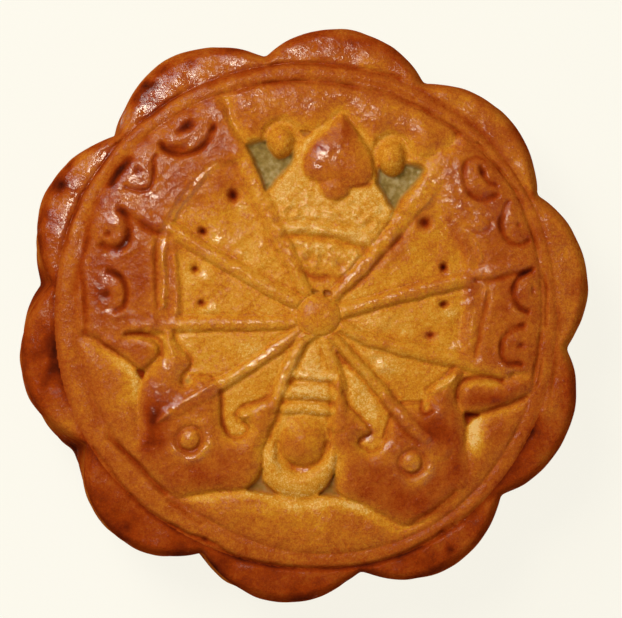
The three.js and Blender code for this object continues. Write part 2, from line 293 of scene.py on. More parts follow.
class Face:
    """The top of the cake while it is worked. z is measured from the plain ground."""

    def __init__(self, x, y):
        self.x, self.y = x, y
        for reach, size, across, along in WANDER:
            self.x = self.x + reach * swell(x, y, size, across)
            self.y = self.y + reach * swell(x, y, size, along)
        self.waver = 1 + WAVER[0] * np.clip(swell(x, y, WAVER[1], 7), -2, 2)
        self.z = np.zeros_like(x)
        # How far the crust browned, with painted shade in lines, holes, valleys and creases and painted
        # highlight on beads, lumps and some edges added in.
        self.brown_and_painted_light = np.zeros_like(x)
        self.paste = np.zeros_like(x)
        self.gloss = np.full_like(x, THIN_WASH)
        self.upper = np.ones(x.shape, bool)

    def near(self, points, reach):
        """The places within reach of a box round the points."""
        low, high = np.min(points, axis=0) - reach, np.max(points, axis=0) + reach
        across = (self.x > low[0]) & (self.x < high[0])
        return across & (self.y > low[1]) & (self.y < high[1]) & self.upper

    def inside(self, points, reach):
        """The places in and near an outline, and how deep inside it they lie."""
        outline = curve(points, closed=True)
        spot = self.near(outline, reach)
        return spot, depth_inside(self.x[spot], self.y[spot], outline)

    def away(self, centre, radii, reach, turn=0.0):
        """The places near a centre, and their distance from it, 1 on the ellipse of the radii."""
        spot = self.near([centre], reach)
        return spot, off_centre(self.x[spot], self.y[spot], centre, radii, turn)

    def patch(self, centre, radii, turn):
        """The places near a centre, and a soft section over them."""
        spot, distance = self.away(centre, radii, max(radii) * PATCH_REACH, turn)
        return spot, bell(distance, 1)

    def tint(self, spot, mask, browning):
        """Brings the browning to the given value where the mask is 1."""
        if browning is not None:
            self.brown_and_painted_light[spot] += (browning - self.brown_and_painted_light[spot]) * mask

    def pad(self, points, crest, edge, browning=None, blend=0.8, gentle=False):
        """A raised plate inside an outline, with a plump or a gently sloping edge."""
        spot, depth = self.inside(points, 2.0)
        rise = ease(-0.4 * edge, edge, depth) if gentle else shoulder(depth, edge)
        self.z[spot] += np.maximum(crest - self.z[spot], 0) * rise
        self.tint(spot, ease(-0.6 * blend, blend, depth), browning)

    def hollow(self, points, floor, wall, browning=None, paste=0.0):
        """A sunk place inside an outline, down to the given height."""
        spot, depth = self.inside(points, 1.0)
        share = ease(-wall * 0.3, wall, depth)
        self.z[spot] += (floor - self.z[spot]) * share
        self.tint(spot, share, browning)
        self.paste[spot] = np.maximum(self.paste[spot], paste * ease(-0.05, 0.7, depth))

    def ridge(self, points, width, crest, browning=None, ride=0.45, taper=(1, 1), valley_depth=0.0):
        """A rounded rib along a line, with painted shade in the valleys beside it. It rides up where the
        ground is already raised.
        """
        line = curve(points)
        spot = self.near(line, width * 2.2)
        distance, along = from_line(self.x[spot], self.y[spot], line)
        wide = width * (taper[0] + (taper[1] - taper[0]) * along)
        section = dome(distance / (RIB[0] * wide))**RIB[1]
        ground = self.z[spot]
        raised = np.clip(ground, 0, 2) * ride + crest * section
        on_ground = ease(-0.6, -0.2, ground)
        self.z[spot] += (soft_max(ground, raised, 0.06) - ground) * ease(0.02, 0.12, section) * on_ground
        valley = bell(distance - VALLEY[0] * wide, VALLEY[1]) * on_ground
        self.z[spot] -= valley_depth * valley
        # Painted shade: the valley at the foot of the rib is painted darker.
        self.brown_and_painted_light[spot] += 0.6 * valley_depth * valley
        self.gloss[spot] += 2.0 * valley_depth * section
        self.tint(spot, 0.8 * ease(0.1, 0.8, section), browning)

    def groove(self, points, width, depth, browning=0.25):
        """A pressed line, darker along it, partly from egg wash pooled in it and partly as painted shade; or
        a thin wet bead where the depth is negative, which callers paint paler as a painted highlight.
        """
        line = curve(points)
        spot = self.near(line, width * 2.5)
        distance, _ = from_line(self.x[spot], self.y[spot], line)
        section = bell(distance, width)
        self.z[spot] -= depth * section * self.waver[spot]
        # Darker along the line, partly pooled wash and partly painted shade; paler on a bead, a painted
        # highlight.
        self.brown_and_painted_light[spot] += browning * bell(distance, width * 1.1) * self.waver[spot]
        change = -GROOVE_DRYING if depth > 0 else BEAD_WETTING
        self.gloss[spot] += change * min(abs(depth) * 2, 0.5) * section

    def score(self, lines, width=1.0, depth=1.0, browning=0.5):
        """Presses lines given as points, half width and depth. The rest scales them and their browning,
        which is partly painted shade.
        """
        for points, wide, deep in lines:
            self.groove(points, wide * width, deep * depth, browning * deep)

    def knob(self, centre, radii, crest, foot, browning=None):
        """A round button standing up from the given foot height."""
        spot, away = self.away(centre, radii, max(radii) * 1.6)
        rise = np.sqrt(dome(away))
        button = np.where(away < 1, foot + (crest - foot) * rise, foot - 2 * (away - 1))
        self.z[spot] = soft_max(self.z[spot], button, 0.08)
        self.tint(spot, ease(1.1, 0.7, away), browning)
        self.paste[spot] *= ease(0.92, 1.06, away)

    def swelling(self, centre, radii, lift, browning=0.0, turn=0.0):
        """A soft bump, or a dent where lift is negative."""
        spot, section = self.patch(centre, radii, turn)
        self.z[spot] += lift * section
        self.brown_and_painted_light[spot] += browning * section * (0.7 + 0.3 * self.waver[spot])

    def shine(self, centre, radii, amount, turn=0.0):
        """A place where the egg wash lay thicker, or thinner where the amount is negative."""
        spot, section = self.patch(centre, radii, turn)
        self.gloss[spot] += amount * section

    def glint(self, centre, radii, turn=0.0, press=0.7):
        """A wet facet that tips a little up and to the left, so that it catches the lamp."""
        spot, section = self.patch(centre, radii, turn)
        facet = np.sum(self.z[spot] * section) / np.sum(section)
        for place, middle, slope, change in zip((self.x, self.y), centre, GLINT_SLOPE, GLINT_CHANGE):
            facet = facet + (slope + change * middle) * (place[spot] - middle)
        self.z[spot] += press * (facet - self.z[spot]) * section
        self.gloss[spot] += GLINT_WASH * section

    def ringed_pit(self, centre, radius, ring, pit, browning):
        """A small ringed eye, its pit painted darker as painted shade. ring, pit and browning are each an
        amount and a breadth.
        """
        spot, away = self.away(centre, (1, 1), 3)
        self.z[spot] += ring[0] * bell(away - radius, ring[1]) - pit[0] * bell(away, pit[1])
        # Painted shade in the pit.
        self.brown_and_painted_light[spot] += browning[0] * bell(away, browning[1])


# The line round the butterfly, where the crescents begin.
BUTTERFLY = [
    (-11.4, 29.6), (-10.2, 27.4), (-9.3, 25.4), (-7.9, 23.5), (-5.6, 24.0), (-4.9, 25.4), (-3.0, 26.2),
    (-1.0, 25.6), (0.2, 25.2), (1.8, 25.2), (3.4, 26.4), (5.2, 27.5), (7.0, 25.8), (9.3, 23.1),
    (10.4, 23.9), (12.0, 24.2), (13.9, 23.4), (15.2, 21.6), (17.0, 21.2), (19.0, 22.0), (20.8, 24.0),
    (23.0, 26.8), (30.0, 20.0), (33.5, 8.0), (33.2, -2.0), (32.0, -10.6), (30.0, -11.7), (28.0, -12.5),
    (26.0, -13.1), (24.0, -14.0), (22.8, -15.2), (22.1, -17.0), (21.4, -19.4), (20.4, -22.6), (18.4, -25.6),
    (16.4, -28.2), (14.2, -29.0), (12.2, -28.5), (10.0, -27.3), (7.6, -26.0), (5.0, -25.1), (3.0, -25.2),
    (1.0, -25.5), (-1.5, -25.4), (-3.8, -24.9), (-6.0, -24.1), (-8.5, -23.9), (-12.1, -24.4),
    (-16.0, -25.0), (-18.0, -24.6), (-18.8, -22.6), (-20.2, -18.5), (-21.6, -14.4), (-22.5, -11.6),
    (-22.2, -9.3), (-22.7, -8.0), (-23.8, -7.2), (-25.2, -6.1), (-27.0, -4.9), (-28.8, -3.6), (-32.0, -2.5),
    (-34.0, 2.0), (-33.0, 14.0), (-24.0, 26.0),
]
CRESCENT = 0.72
CRESCENT_EDGE = 3.6
CRESCENT_BROWN = 0.50
GROUND_BROWN = 0.28
# The fields beside the borders are thicker and darker towards the top of the wings: place, radii, lift.
THICK_FIELDS = [((-12.0, 18.6), (4.6, 3.8), 0.38), ((16.4, 13.8), (3.0, 3.6), 0.30)]
HUB = (2.0, -0.3)
HUB_RADII = (2.85, 2.75)
HUB_KNOB = (1.16, 0.28, 0.37)   # its crest, its foot and its browning
HUB_GROUND = 0.22       # the height of the ground under it
# The veins from the hub outwards: points, half width, height, its width from end to end. The last is the
# outer end of the one before it.
VEINS = [
    ([(0.6, 2.4), (-0.4, 4.2), (-2.2, 8.2), (-3.8, 11.6), (-5.2, 14.8), (-6.9, 18.6), (-8.6, 22.0)],
     1.15, 0.72, (0.8, 1.15)),
    ([(0.4, 0.8), (-1.4, 1.7), (-4.2, 3.2), (-7.6, 5.2), (-12.6, 8.1), (-18.0, 11.5), (-22.0, 13.5),
      (-25.4, 14.9)], 1.0, 0.68, (0.85, 1.05)),
    ([(0.2, -1.1), (-1.4, -1.2), (-6.0, -1.3), (-11.4, -1.3), (-17.4, -1.5), (-22.6, -1.7)],
     1.0, 0.66, (0.8, 1.0)),
    ([(0.8, -1.9), (-1.2, -2.9), (-4.6, -5.2), (-8.5, -7.8), (-12.0, -10.2), (-15.4, -11.9),
      (-18.6, -13.6)], 0.9, 0.80, (0.9, 0.95)),
    ([(1.3, -2.4), (-0.2, -3.8), (-1.4, -6.0), (-2.6, -8.6), (-3.4, -10.8), (-3.9, -12.6)],
     0.85, 0.80, (0.9, 0.95)),
    ([(2.7, -2.6), (3.2, -4.4), (3.9, -6.6), (4.6, -9.2), (4.8, -12.0), (4.6, -15.0)],
     1.0, 0.66, (0.8, 1.1)),
    ([(3.1, -2.2), (5.9, -5.2), (8.3, -7.7), (10.4, -10.3), (12.4, -12.7), (14.2, -14.6), (16.4, -16.8),
      (18.6, -18.8)], 1.0, 0.96, (0.75, 1.1)),
    ([(3.4, -1.2), (5.4, -1.9), (8.2, -3.1), (12.0, -4.2), (16.0, -5.3), (20.0, -6.1), (24.0, -7.0),
      (27.2, -7.8)], 1.05, 0.86, (0.75, 1.1)),
    ([(3.6, 0.0), (5.6, 0.4), (8.2, 1.1), (12.0, 2.2), (16.0, 3.3), (20.0, 4.3), (24.0, 5.3), (28.0, 6.3),
      (31.2, 6.8)], 1.05, 0.80, (0.8, 1.0)),
    ([(3.2, 1.5), (4.9, 3.3), (6.7, 5.2), (9.0, 7.4), (11.2, 9.8), (12.2, 11.1)], 1.0, 0.60, (0.8, 1.0)),
    ([(11.6, 10.3), (13.0, 12.2), (14.4, 14.2), (15.8, 16.0)], 1.1, 0.34, (0.9, 1.2)),
]
VEIN_BROWN = 0.33
# The valleys are also painted darker with this depth, as painted shade.
VEIN_VALLEY = 0.11      # depth of the valleys beside a vein
VEIN_SHARES = (0.62, 0.26)  # shares of that height over the ground, and again over the plates at its edge


def press_ground(face):
    inside = depth_inside(face.x, face.y, curve(BUTTERFLY, closed=True))
    face.z += CRESCENT * shoulder(-inside, CRESCENT_EDGE)
    face.z += 0.06 * swell(face.x, face.y, 3.2, 3) + 0.035 * swell(face.x, face.y, 1.3, 4)
    face.brown_and_painted_light += GROUND_BROWN + 0.05 * swell(face.x, face.y, 4.0, 5)
    face.brown_and_painted_light += (CRESCENT_BROWN - face.brown_and_painted_light) * ease(0.0, 1.6, -inside)
    # The crescents' edge is paler at the left and below: partly thin, paler skin and partly a painted
    # highlight where the edge faces the lamp.
    pale_side = ease(24, 18, face.y) * ease(14, 6, face.x) * ease(29, 23, -face.x)
    face.brown_and_painted_light -= 0.15 * bell(inside + 0.5, 0.7) * pale_side
    for centre, radii, lift in THICK_FIELDS:
        face.swelling(centre, radii, lift, 0.15)


def press_veins(face):
    for points, width, crest, taper in VEINS:
        face.ridge(points, width, crest * VEIN_SHARES[0], VEIN_BROWN, taper=taper, valley_depth=VEIN_VALLEY)


def lay_veins_over_plates(face):
    for points, width, crest, taper in VEINS:
        face.ridge(points, width, crest * VEIN_SHARES[1], ride=1.0, taper=taper)


def press_hub(face):
    spot, away = face.away(HUB, HUB_RADII, 5)
    face.z[spot] += (HUB_GROUND - face.z[spot]) * ease(1.16, 0.98, away)
    face.knob(HUB, HUB_RADII, *HUB_KNOB)


# --- The scroll borders of the upper wings ---------------------------------------------------------
# Two broad plates against the ring carry four scrolls each: a hooked line round a pricked eye. A thin
# raised edge and a lower step lead down to the field of the wing.
LEFT_BORDER = [
    (-11.5, 30.2), (-10.5, 28.2), (-9.6, 26.0), (-8.3, 23.4), (-8.0, 21.6), (-9.4, 20.4), (-12.2, 19.9),
    (-14.3, 17.8), (-16.7, 15.0), (-18.0, 12.7), (-19.2, 10.8), (-19.8, 9.0), (-19.7, 5.0), (-19.7, 1.5),
    (-19.5, -0.8), (-20.5, -2.3), (-23.4, -2.6), (-24.6, -3.6), (-25.4, -5.2), (-27.2, -4.4), (-29.2, -3.1),
    (-33.0, -2.6), (-36.0, 0.0), (-36.0, 12.0), (-30.0, 25.0), (-18.0, 34.0), (-11.0, 34.0),
]
LEFT_STEP = [
    (-18.4, 11.6), (-17.4, 10.4), (-17.0, 8.0), (-16.9, 4.0), (-16.9, -1.2), (-20.5, -1.4), (-20.5, 10.0),
]
RIGHT_BORDER = [
    (20.8, 23.6), (19.7, 21.7), (18.7, 19.8), (18.5, 17.6), (19.3, 15.4), (20.6, 13.4), (22.0, 11.6),
    (23.2, 9.8), (24.0, 8.0), (24.3, 6.2), (24.6, 4.2), (24.6, 2.4), (24.2, 0.0), (23.7, -2.6),
    (23.2, -5.4), (23.6, -7.4), (26.6, -8.2), (29.5, -8.8), (32.0, -9.4), (36.0, -11.0), (37.0, 5.0),
    (30.0, 24.0), (24.0, 28.0),
]
RIGHT_STEP = [
    (17.2, 18.6), (16.6, 16.6), (17.8, 14.4), (19.2, 12.3), (20.5, 10.2), (21.4, 8.0), (21.7, 5.6),
    (21.8, 2.0), (21.5, -1.0), (21.2, -4.0), (21.0, -6.4), (24.0, -6.6), (26.0, 0.0), (26.0, 8.0),
    (23.0, 14.0), (20.5, 19.0),
]
# A low shelf under the right border, where the vein runs up to it.
SHELF = [
    (12.9, 13.9), (14.6, 13.2), (16.6, 14.0), (18.6, 16.5), (20.5, 20.0), (21.0, 22.5), (19.0, 22.4),
    (17.4, 20.9), (16.0, 18.8), (14.4, 16.4),
]
# The plates, from the lowest up: outline, height, breadth of the edge, browning, breadth of its blend.
BORDER_PLATES = [
    (SHELF, 0.62, 0.9, 0.40, 1.2), (LEFT_STEP, 0.42, 0.8, 0.44, 0.8), (RIGHT_STEP, 0.42, 1.0, 0.46, 0.8),
    (LEFT_BORDER, 0.74, 1.0, 0.60, 2.2), (RIGHT_BORDER, 0.74, 1.3, 0.57, 2.2),
]
# Hooked lines and short deep strokes by them: points, half width, depth.
SCROLL_LINES = [
    ([(-19.3, 23.3), (-18.9, 22.5), (-17.8, 21.9), (-16.4, 21.8), (-14.8, 22.2), (-13.6, 23.0),
      (-12.9, 24.0), (-12.3, 25.6)], 0.48, 0.44),
    ([(-18.9, 22.8), (-17.6, 22.6), (-16.2, 22.7)], 0.60, 0.28),
    ([(-18.4, 26.0), (-17.8, 26.9), (-16.8, 27.5), (-15.2, 27.6)], 0.40, 0.22),
    ([(-20.0, 21.7), (-20.4, 20.9), (-20.25, 19.6), (-20.4, 18.2), (-20.9, 17.2), (-21.9, 16.9),
      (-23.2, 16.9), (-24.3, 17.3)], 0.28, 0.42),
    ([(-26.4, 18.2), (-25.8, 19.3), (-25.1, 20.4), (-24.5, 21.3)], 0.90, 0.90),
    ([(-22.7, 23.6), (-22.2, 24.0), (-21.7, 24.3)], 0.60, 0.60),
    ([(-25.0, 14.1), (-24.3, 13.2), (-24.0, 12.2), (-23.9, 11.0), (-24.2, 10.0), (-24.9, 9.2), (-26.2, 8.9),
      (-27.4, 9.3)], 0.60, 0.52),
    ([(-26.6, 5.9), (-25.4, 5.4), (-24.5, 4.5), (-24.05, 3.3), (-24.1, 2.1), (-24.6, 1.1), (-25.6, 0.6)],
     0.42, 0.42),
    ([(21.9, 20.6), (21.6, 19.6), (21.7, 18.3), (22.2, 17.0), (23.0, 16.0), (24.2, 15.5), (25.4, 15.7),
      (26.4, 16.3)], 0.36, 0.26),
    ([(22.8, 16.6), (24.2, 16.0), (25.8, 16.2)], 0.55, 0.22),
    ([(24.0, 19.8), (24.5, 18.7), (25.3, 17.9), (26.3, 17.5)], 0.38, 0.26),
    ([(22.4, 20.9), (23.6, 21.3), (25.0, 20.8), (26.2, 19.7)], 0.34, 0.18),
    ([(27.9, 15.2), (27.2, 14.0), (26.8, 12.6), (26.9, 11.2), (27.5, 10.1), (28.6, 9.5), (29.7, 9.5),
      (30.5, 10.1)], 0.40, 0.42),
    ([(31.4, 6.2), (30.2, 5.7), (29.2, 4.9), (28.6, 3.8), (28.4, 2.7), (28.7, 1.5), (29.5, 0.6),
      (30.4, 0.2)], 0.40, 0.44),
    ([(27.8, -2.6), (27.1, -3.7), (26.9, -5.0), (27.1, -6.1), (27.9, -6.8), (29.4, -6.9)], 0.38, 0.42),
    ([(28.0, -2.4), (28.9, -2.0), (29.8, -1.7)], 0.45, 0.38),
]
# The plump parts of the scrolls: place, radii, lift.
SCROLL_HEARTS = [
    ((-15.6, 24.4), (2.2, 1.7), 0.26), ((-22.6, 19.4), (1.9, 1.7), 0.24), ((-25.9, 12.7), (1.2, 1.4), 0.50),
    ((-26.0, 10.2), (1.6, 1.2), 0.22), ((-25.7, 3.6), (1.5, 1.5), 0.22), ((-25.4, 0.0), (1.4, 0.7), 0.22),
    ((24.2, 18.2), (2.0, 1.9), 0.16), ((29.1, 12.2), (1.8, 1.9), 0.18), ((30.4, 3.2), (1.6, 1.9), 0.18),
    ((29.2, -4.4), (1.6, 1.7), 0.20),
]
# The eyes and dots pricked in them: place, radii, depth, turn.
SCROLL_EYES = [
    ((-15.7, 25.7), (0.95, 0.6), 0.70, 35), ((-16.7, 25.1), (0.7, 0.32), 0.35, 25),
    ((-22.6, 19.5), (0.5, 0.5), 0.42, 0), ((-26.8, 10.9), (0.4, 0.4), 0.40, 0),
    ((-26.8, 2.9), (0.65, 0.5), 0.34, 0), ((24.4, 19.2), (0.45, 0.55), 0.55, 20),
    ((29.2, 12.2), (0.36, 0.36), 0.40, 0), ((31.2, 3.2), (0.3, 0.5), 0.35, 0),
    ((29.6, -4.3), (0.5, 0.45), 0.50, 0), ((-12.2, 25.3), (0.3, 0.45), 0.30, 0),
    ((20.9, 24.8), (0.3, 0.6), 0.50, -40),
]
# Thin raised lines along the edges of the borders, painted a little paler as a painted highlight: points,
# half width, lift.
BORDER_BEADS = [
    ([(-12.0, 20.1), (-13.1, 19.1), (-14.4, 17.7), (-15.6, 16.2), (-16.8, 14.9), (-17.7, 13.6),
      (-18.1, 12.6)], 0.36, 0.27),
    ([(-18.7, 10.5), (-19.1, 9.3), (-19.1, 7.0), (-19.0, 4.0), (-19.1, 1.0)], 0.36, 0.34),
    ([(-17.4, 8.0), (-17.2, 5.0), (-17.2, 2.0), (-17.3, 0.0)], 0.30, 0.16),
    ([(21.2, 20.0), (21.1, 18.4), (21.4, 16.8)], 0.3, 0.10),
    ([(22.4, 11.2), (23.1, 10.0), (23.8, 8.6), (24.1, 7.4)], 0.32, 0.18),
    ([(23.7, 4.9), (24.4, 4.2), (24.6, 3.2), (24.4, 2.2)], 0.34, 0.20),
    ([(23.3, 0.4), (23.0, -2.0), (22.6, -4.4)], 0.35, 0.10),
    ([(28.0, 1.6), (28.6, 0.4), (29.6, -0.3)], 0.35, 0.12),
    ([(26.4, -5.0), (26.7, -6.4), (27.6, -7.5), (28.8, -7.8)], 0.40, 0.14),
]
# Pressed lines that part the veins and the steps from the borders, and the ring's second line.
BORDER_LINES = [
    ([(-24.6, 14.0), (-23.2, 13.1), (-22.0, 12.2), (-21.0, 11.5), (-19.8, 10.8), (-18.2, 10.6)],
     0.42, 0.28),
    ([(-19.9, 9.8), (-20.0, 7.0), (-19.9, 4.0), (-19.9, 1.0)], 0.30, 0.22),
    ([(-18.3, 9.4), (-18.2, 6.0), (-18.2, 2.0), (-18.3, -0.4)], 0.45, 0.12),
    ([(23.4, 4.7), (25.0, 4.6), (27.0, 5.1), (29.0, 5.6), (31.0, 6.0)], 0.34, 0.34),
    ([(24.9, 2.8), (24.7, 1.4), (24.2, -1.0), (23.8, -3.2), (23.3, -5.6)], 0.30, 0.26),
    ([(-28.4, 15.2), (-29.1, 13.5), (-29.5, 11.0), (-29.9, 9.0), (-30.5, 6.5), (-31.0, 4.8), (-31.3, 3.4)],
     0.45, 0.42),
    ([(-30.2, 5.4), (-29.9, 3.0), (-29.8, 0.4), (-29.7, -2.2)], 0.34, 0.26),
    ([(22.4, 11.7), (23.8, 11.0), (25.2, 11.6), (25.3, 12.6)], 0.3, 0.14),
]
# Pricks left by the mould's pins: place, radii, depth, turn.
NEEDLE_HOLES = [
    ((-9.7, 16.1), (0.62, 0.72), 1.25, 10), ((-13.75, 11.25), (0.50, 0.40), 1.05, -45),
    ((-14.8, 6.1), (0.42, 0.42), 1.15, 0), ((-13.9, 1.35), (0.45, 0.36), 0.95, -20),
    ((16.5, 12.2), (0.66, 0.70), 1.0, 0), ((19.05, 6.4), (0.42, 0.48), 1.15, 0),
    ((19.1, 1.35), (0.50, 0.36), 1.10, 15), ((17.2, -3.0), (0.60, 0.50), 0.42, 0),
]
PUSHED_LUMP = ((1.15, -0.85), (0.9, 0.7), 0.16)     # the lump beside a prick: place, radii, lift


def press_borders(face):
    for outline, crest, edge, browning, blend in BORDER_PLATES:
        face.pad(outline, crest, edge, browning, blend, gentle=True)


def prick(face, centre, radii, depth, turn):
    """A hole in a shallow dimple, both painted darker as painted shade, with the lump that the pin pushed up
    beside it, painted a little paler as a painted highlight.
    """
    offset, lump_radii, lift = PUSHED_LUMP
    face.swelling((centre[0] + offset[0], centre[1] + offset[1]), lump_radii, lift, -0.04, -30)
    face.swelling(centre, [1.9 * r for r in radii], -0.16 * depth, 0.12, turn)
    face.swelling(centre, radii, -depth, 0.45, turn)


def score_borders(face):
    for points, width, lift in BORDER_BEADS:
        # A little paler: painted highlight on the raised lines.
        face.groove(points, width, -lift, -0.05)
    for centre, radii, lift in SCROLL_HEARTS:
        face.swelling(centre, radii, lift)
    face.score(SCROLL_LINES, width=0.85)
    for centre, radii, depth, turn in SCROLL_EYES:
        # The pricked eyes are painted darker, painted shade in the dents.
        face.swelling(centre, radii, -depth, 0.2, turn)
    face.score(BORDER_LINES, browning=0.55)
    for centre, radii, depth, turn in NEEDLE_HOLES:
        prick(face, centre, radii, depth, turn)


# --- The lower wings and the leaves -----------------------------------------------------------------
# Thick plates with an eye spot each. Their inner edges are cut in steps and curls; a leaf lies between
# each of them and the border above, with a deep open corner beside it.
LEFT_WING = [
    (-21.2, -8.4), (-20.4, -6.8), (-19.5, -5.4), (-19.3, -3.6), (-19.2, -2.2), (-17.7, -2.3), (-17.3, -3.5),
    (-16.5, -4.5), (-15.2, -6.3), (-15.5, -7.4), (-16.3, -8.4), (-16.4, -9.4), (-15.8, -9.8), (-15.2, -9.2),
    (-14.8, -8.4), (-13.6, -8.4), (-12.4, -8.9), (-11.4, -9.6), (-11.0, -10.8), (-11.0, -13.0),
    (-10.9, -15.0), (-10.2, -16.3), (-9.2, -16.7), (-8.3, -16.4), (-7.9, -15.6), (-8.4, -14.9),
    (-8.9, -14.2), (-8.6, -13.2), (-6.6, -12.3), (-5.2, -11.6), (-4.1, -11.4), (-3.2, -12.4), (-3.4, -13.6),
    (-4.1, -15.2), (-4.7, -17.0), (-5.5, -18.6), (-5.6, -20.4), (-6.3, -22.2), (-7.7, -23.7),
    (-12.1, -24.3), (-16.0, -24.9), (-18.4, -25.2), (-20.2, -23.2), (-22.0, -20.6), (-22.9, -18.0),
    (-22.5, -15.6), (-22.6, -13.4), (-22.7, -11.4), (-22.0, -9.4),
]
RIGHT_WING = [
    (20.6, -7.2), (19.8, -7.7), (19.1, -8.7), (18.0, -9.5), (16.8, -10.4), (16.9, -11.2), (16.1, -12.1),
    (14.6, -12.0), (13.0, -12.1), (12.2, -12.9), (11.9, -13.9), (11.6, -15.2), (11.2, -16.6), (10.3, -17.9),
    (9.2, -18.5), (8.2, -18.3), (7.6, -17.6), (7.9, -16.9), (8.7, -16.7), (9.2, -16.1), (9.0, -15.3),
    (8.3, -14.6), (7.2, -13.4), (6.2, -12.5), (5.5, -11.2), (5.3, -9.2), (4.6, -8.0), (3.8, -10.0),
    (3.8, -13.0), (3.8, -16.0), (4.2, -18.0), (4.7, -20.0), (4.5, -22.5), (4.6, -24.0), (5.3, -25.0),
    (7.6, -26.0), (9.9, -27.0), (12.2, -28.2), (14.3, -29.0), (17.0, -28.4), (19.8, -26.0), (22.2, -23.6),
    (22.5, -20.0), (22.1, -17.0), (22.0, -14.8), (21.8, -13.5), (21.1, -12.4), (20.8, -11.0), (20.8, -10.0),
    (21.4, -9.0), (21.8, -8.0),
]
LEFT_LEAF = [
    (-24.4, -3.1), (-21.7, -3.1), (-20.1, -3.8), (-19.5, -4.8), (-19.8, -5.9), (-20.6, -7.0), (-21.5, -7.8),
    (-22.6, -7.8), (-23.8, -7.0), (-25.2, -5.9), (-27.0, -4.6), (-27.8, -3.6), (-26.2, -2.9),
]
RIGHT_LEAF = [
    (21.3, -12.9), (21.0, -11.2), (21.4, -10.0), (22.3, -9.2), (23.6, -8.95), (25.2, -9.05), (26.9, -8.9),
    (29.0, -8.3), (31.6, -8.4), (32.8, -9.8), (31.0, -11.0), (28.8, -12.0), (26.2, -12.9), (24.0, -13.4),
    (22.3, -13.6),
]
# The plates, from the lowest up: outline, height, breadth of the edge, browning, breadth of its blend.
WING_PLATES = [
    (LEFT_LEAF, 0.92, 1.4, 0.60, 1.6), (RIGHT_LEAF, 0.92, 1.8, 0.58, 1.6),
    (LEFT_WING, 0.98, 2.4, 0.56, 1.8), (RIGHT_WING, 0.98, 2.4, 0.58, 1.8),
]
WING_FOLD = [(11.4, -11.8), (13.2, -13.8), (15.0, -15.6), (16.4, -16.9)]    # a low fold on the right wing
# The open corners beside the leaves, painted near black as painted shade in their depth: outline, height.
OPEN_CORNERS = [
    ([(-22.9, -7.75), (-21.5, -7.9), (-22.0, -9.05)], -0.9),
    ([(21.8, -13.4), (22.2, -15.2), (22.9, -14.6), (24.2, -13.7), (23.2, -13.3)], -0.95),
]
# The middles of two curls, where the crust is thin: outline, height, how much of the paste shows.
CURL_MIDDLES = [
    ([(-16.25, -8.6), (-15.4, -8.5), (-15.3, -9.4), (-16.1, -9.5)], 0.0, 0.8),
    ([(16.2, -12.3), (17.0, -12.1), (17.1, -12.8), (16.5, -13.1)], 0.15, 0.1),
]
# The eye spots: place and radius of the button. Its moat and rim: how far out, how broad, how high.
EYE_SPOTS = [((-15.6, -17.0), 1.45), ((14.7, -20.3), 1.40)]
EYE_MOAT = (0.20, 0.34, -0.46)
EYE_RIM = (1.25, 0.60, 0.10)
EYE_BUTTON = 0.34
# Pressed lines: points, half width, depth.
WING_LINES = [
    ([(-24.2, -2.8), (-21.6, -2.85), (-19.9, -3.5), (-19.2, -4.6), (-19.4, -5.6)], 0.30, 0.38),
    ([(-17.6, -2.4), (-17.2, -3.6), (-16.4, -4.6), (-15.2, -6.2)], 0.26, 0.26),
    ([(-15.3, -6.8), (-16.1, -8.2), (-16.4, -9.2)], 0.28, 0.28),
    ([(-15.0, -8.3), (-13.6, -8.3), (-12.4, -8.8)], 0.26, 0.26),
    ([(-11.2, -10.6), (-11.15, -13.0), (-11.0, -15.0), (-10.3, -16.5), (-9.2, -16.9), (-8.2, -16.5),
      (-7.8, -15.6), (-8.5, -14.9)], 0.30, 0.42),
    ([(-9.0, -14.4), (-9.25, -13.6), (-8.8, -12.8), (-7.8, -12.4), (-6.4, -12.0), (-5.0, -11.4)],
     0.28, 0.34),
    ([(20.9, -11.4), (21.1, -10.0), (22.0, -9.0), (23.4, -8.65), (25.2, -8.7), (27.0, -9.0)], 0.30, 0.42),
    ([(20.3, -7.3), (19.4, -8.2), (18.0, -9.3), (16.8, -10.2)], 0.28, 0.24),
    ([(4.6, -5.4), (6.3, -7.3), (8.2, -9.3), (9.8, -11.3), (11.2, -13.0)], 0.30, 0.22),
    ([(6.4, -4.2), (8.4, -6.4), (10.4, -8.8), (12.6, -11.4)], 0.30, 0.20),
    ([(16.1, -11.8), (16.0, -12.9), (16.5, -13.5), (17.3, -13.3)], 0.25, 0.30),
    ([(13.4, -12.1), (14.8, -12.0), (16.0, -12.0)], 0.24, 0.22),
    ([(5.4, -10.6), (6.1, -12.4), (7.0, -13.4), (8.3, -14.7), (9.1, -15.6), (9.0, -16.4), (8.2, -16.9),
      (7.7, -17.3)], 0.26, 0.34),
    ([(11.9, -13.4), (11.6, -14.6), (11.2, -15.8), (10.9, -16.9)], 0.28, 0.30),
    ([(7.4, -17.6), (8.2, -18.3), (9.2, -18.6), (10.2, -18.2)], 0.24, 0.22),
    ([(22.6, -13.7), (24.2, -13.4), (26.0, -12.9), (28.0, -12.2), (30.0, -11.3)], 0.34, 0.30),
    ([(-28.6, -3.4), (-27.0, -4.4), (-25.4, -5.5), (-24.0, -6.5), (-22.9, -7.5)], 0.30, 0.20),
    ([(12.6, -14.2), (14.0, -16.0), (15.6, -17.8)], 0.45, 0.12),
    ([(15.6, -14.6), (17.0, -15.9), (18.6, -17.8)], 0.45, 0.07),
]
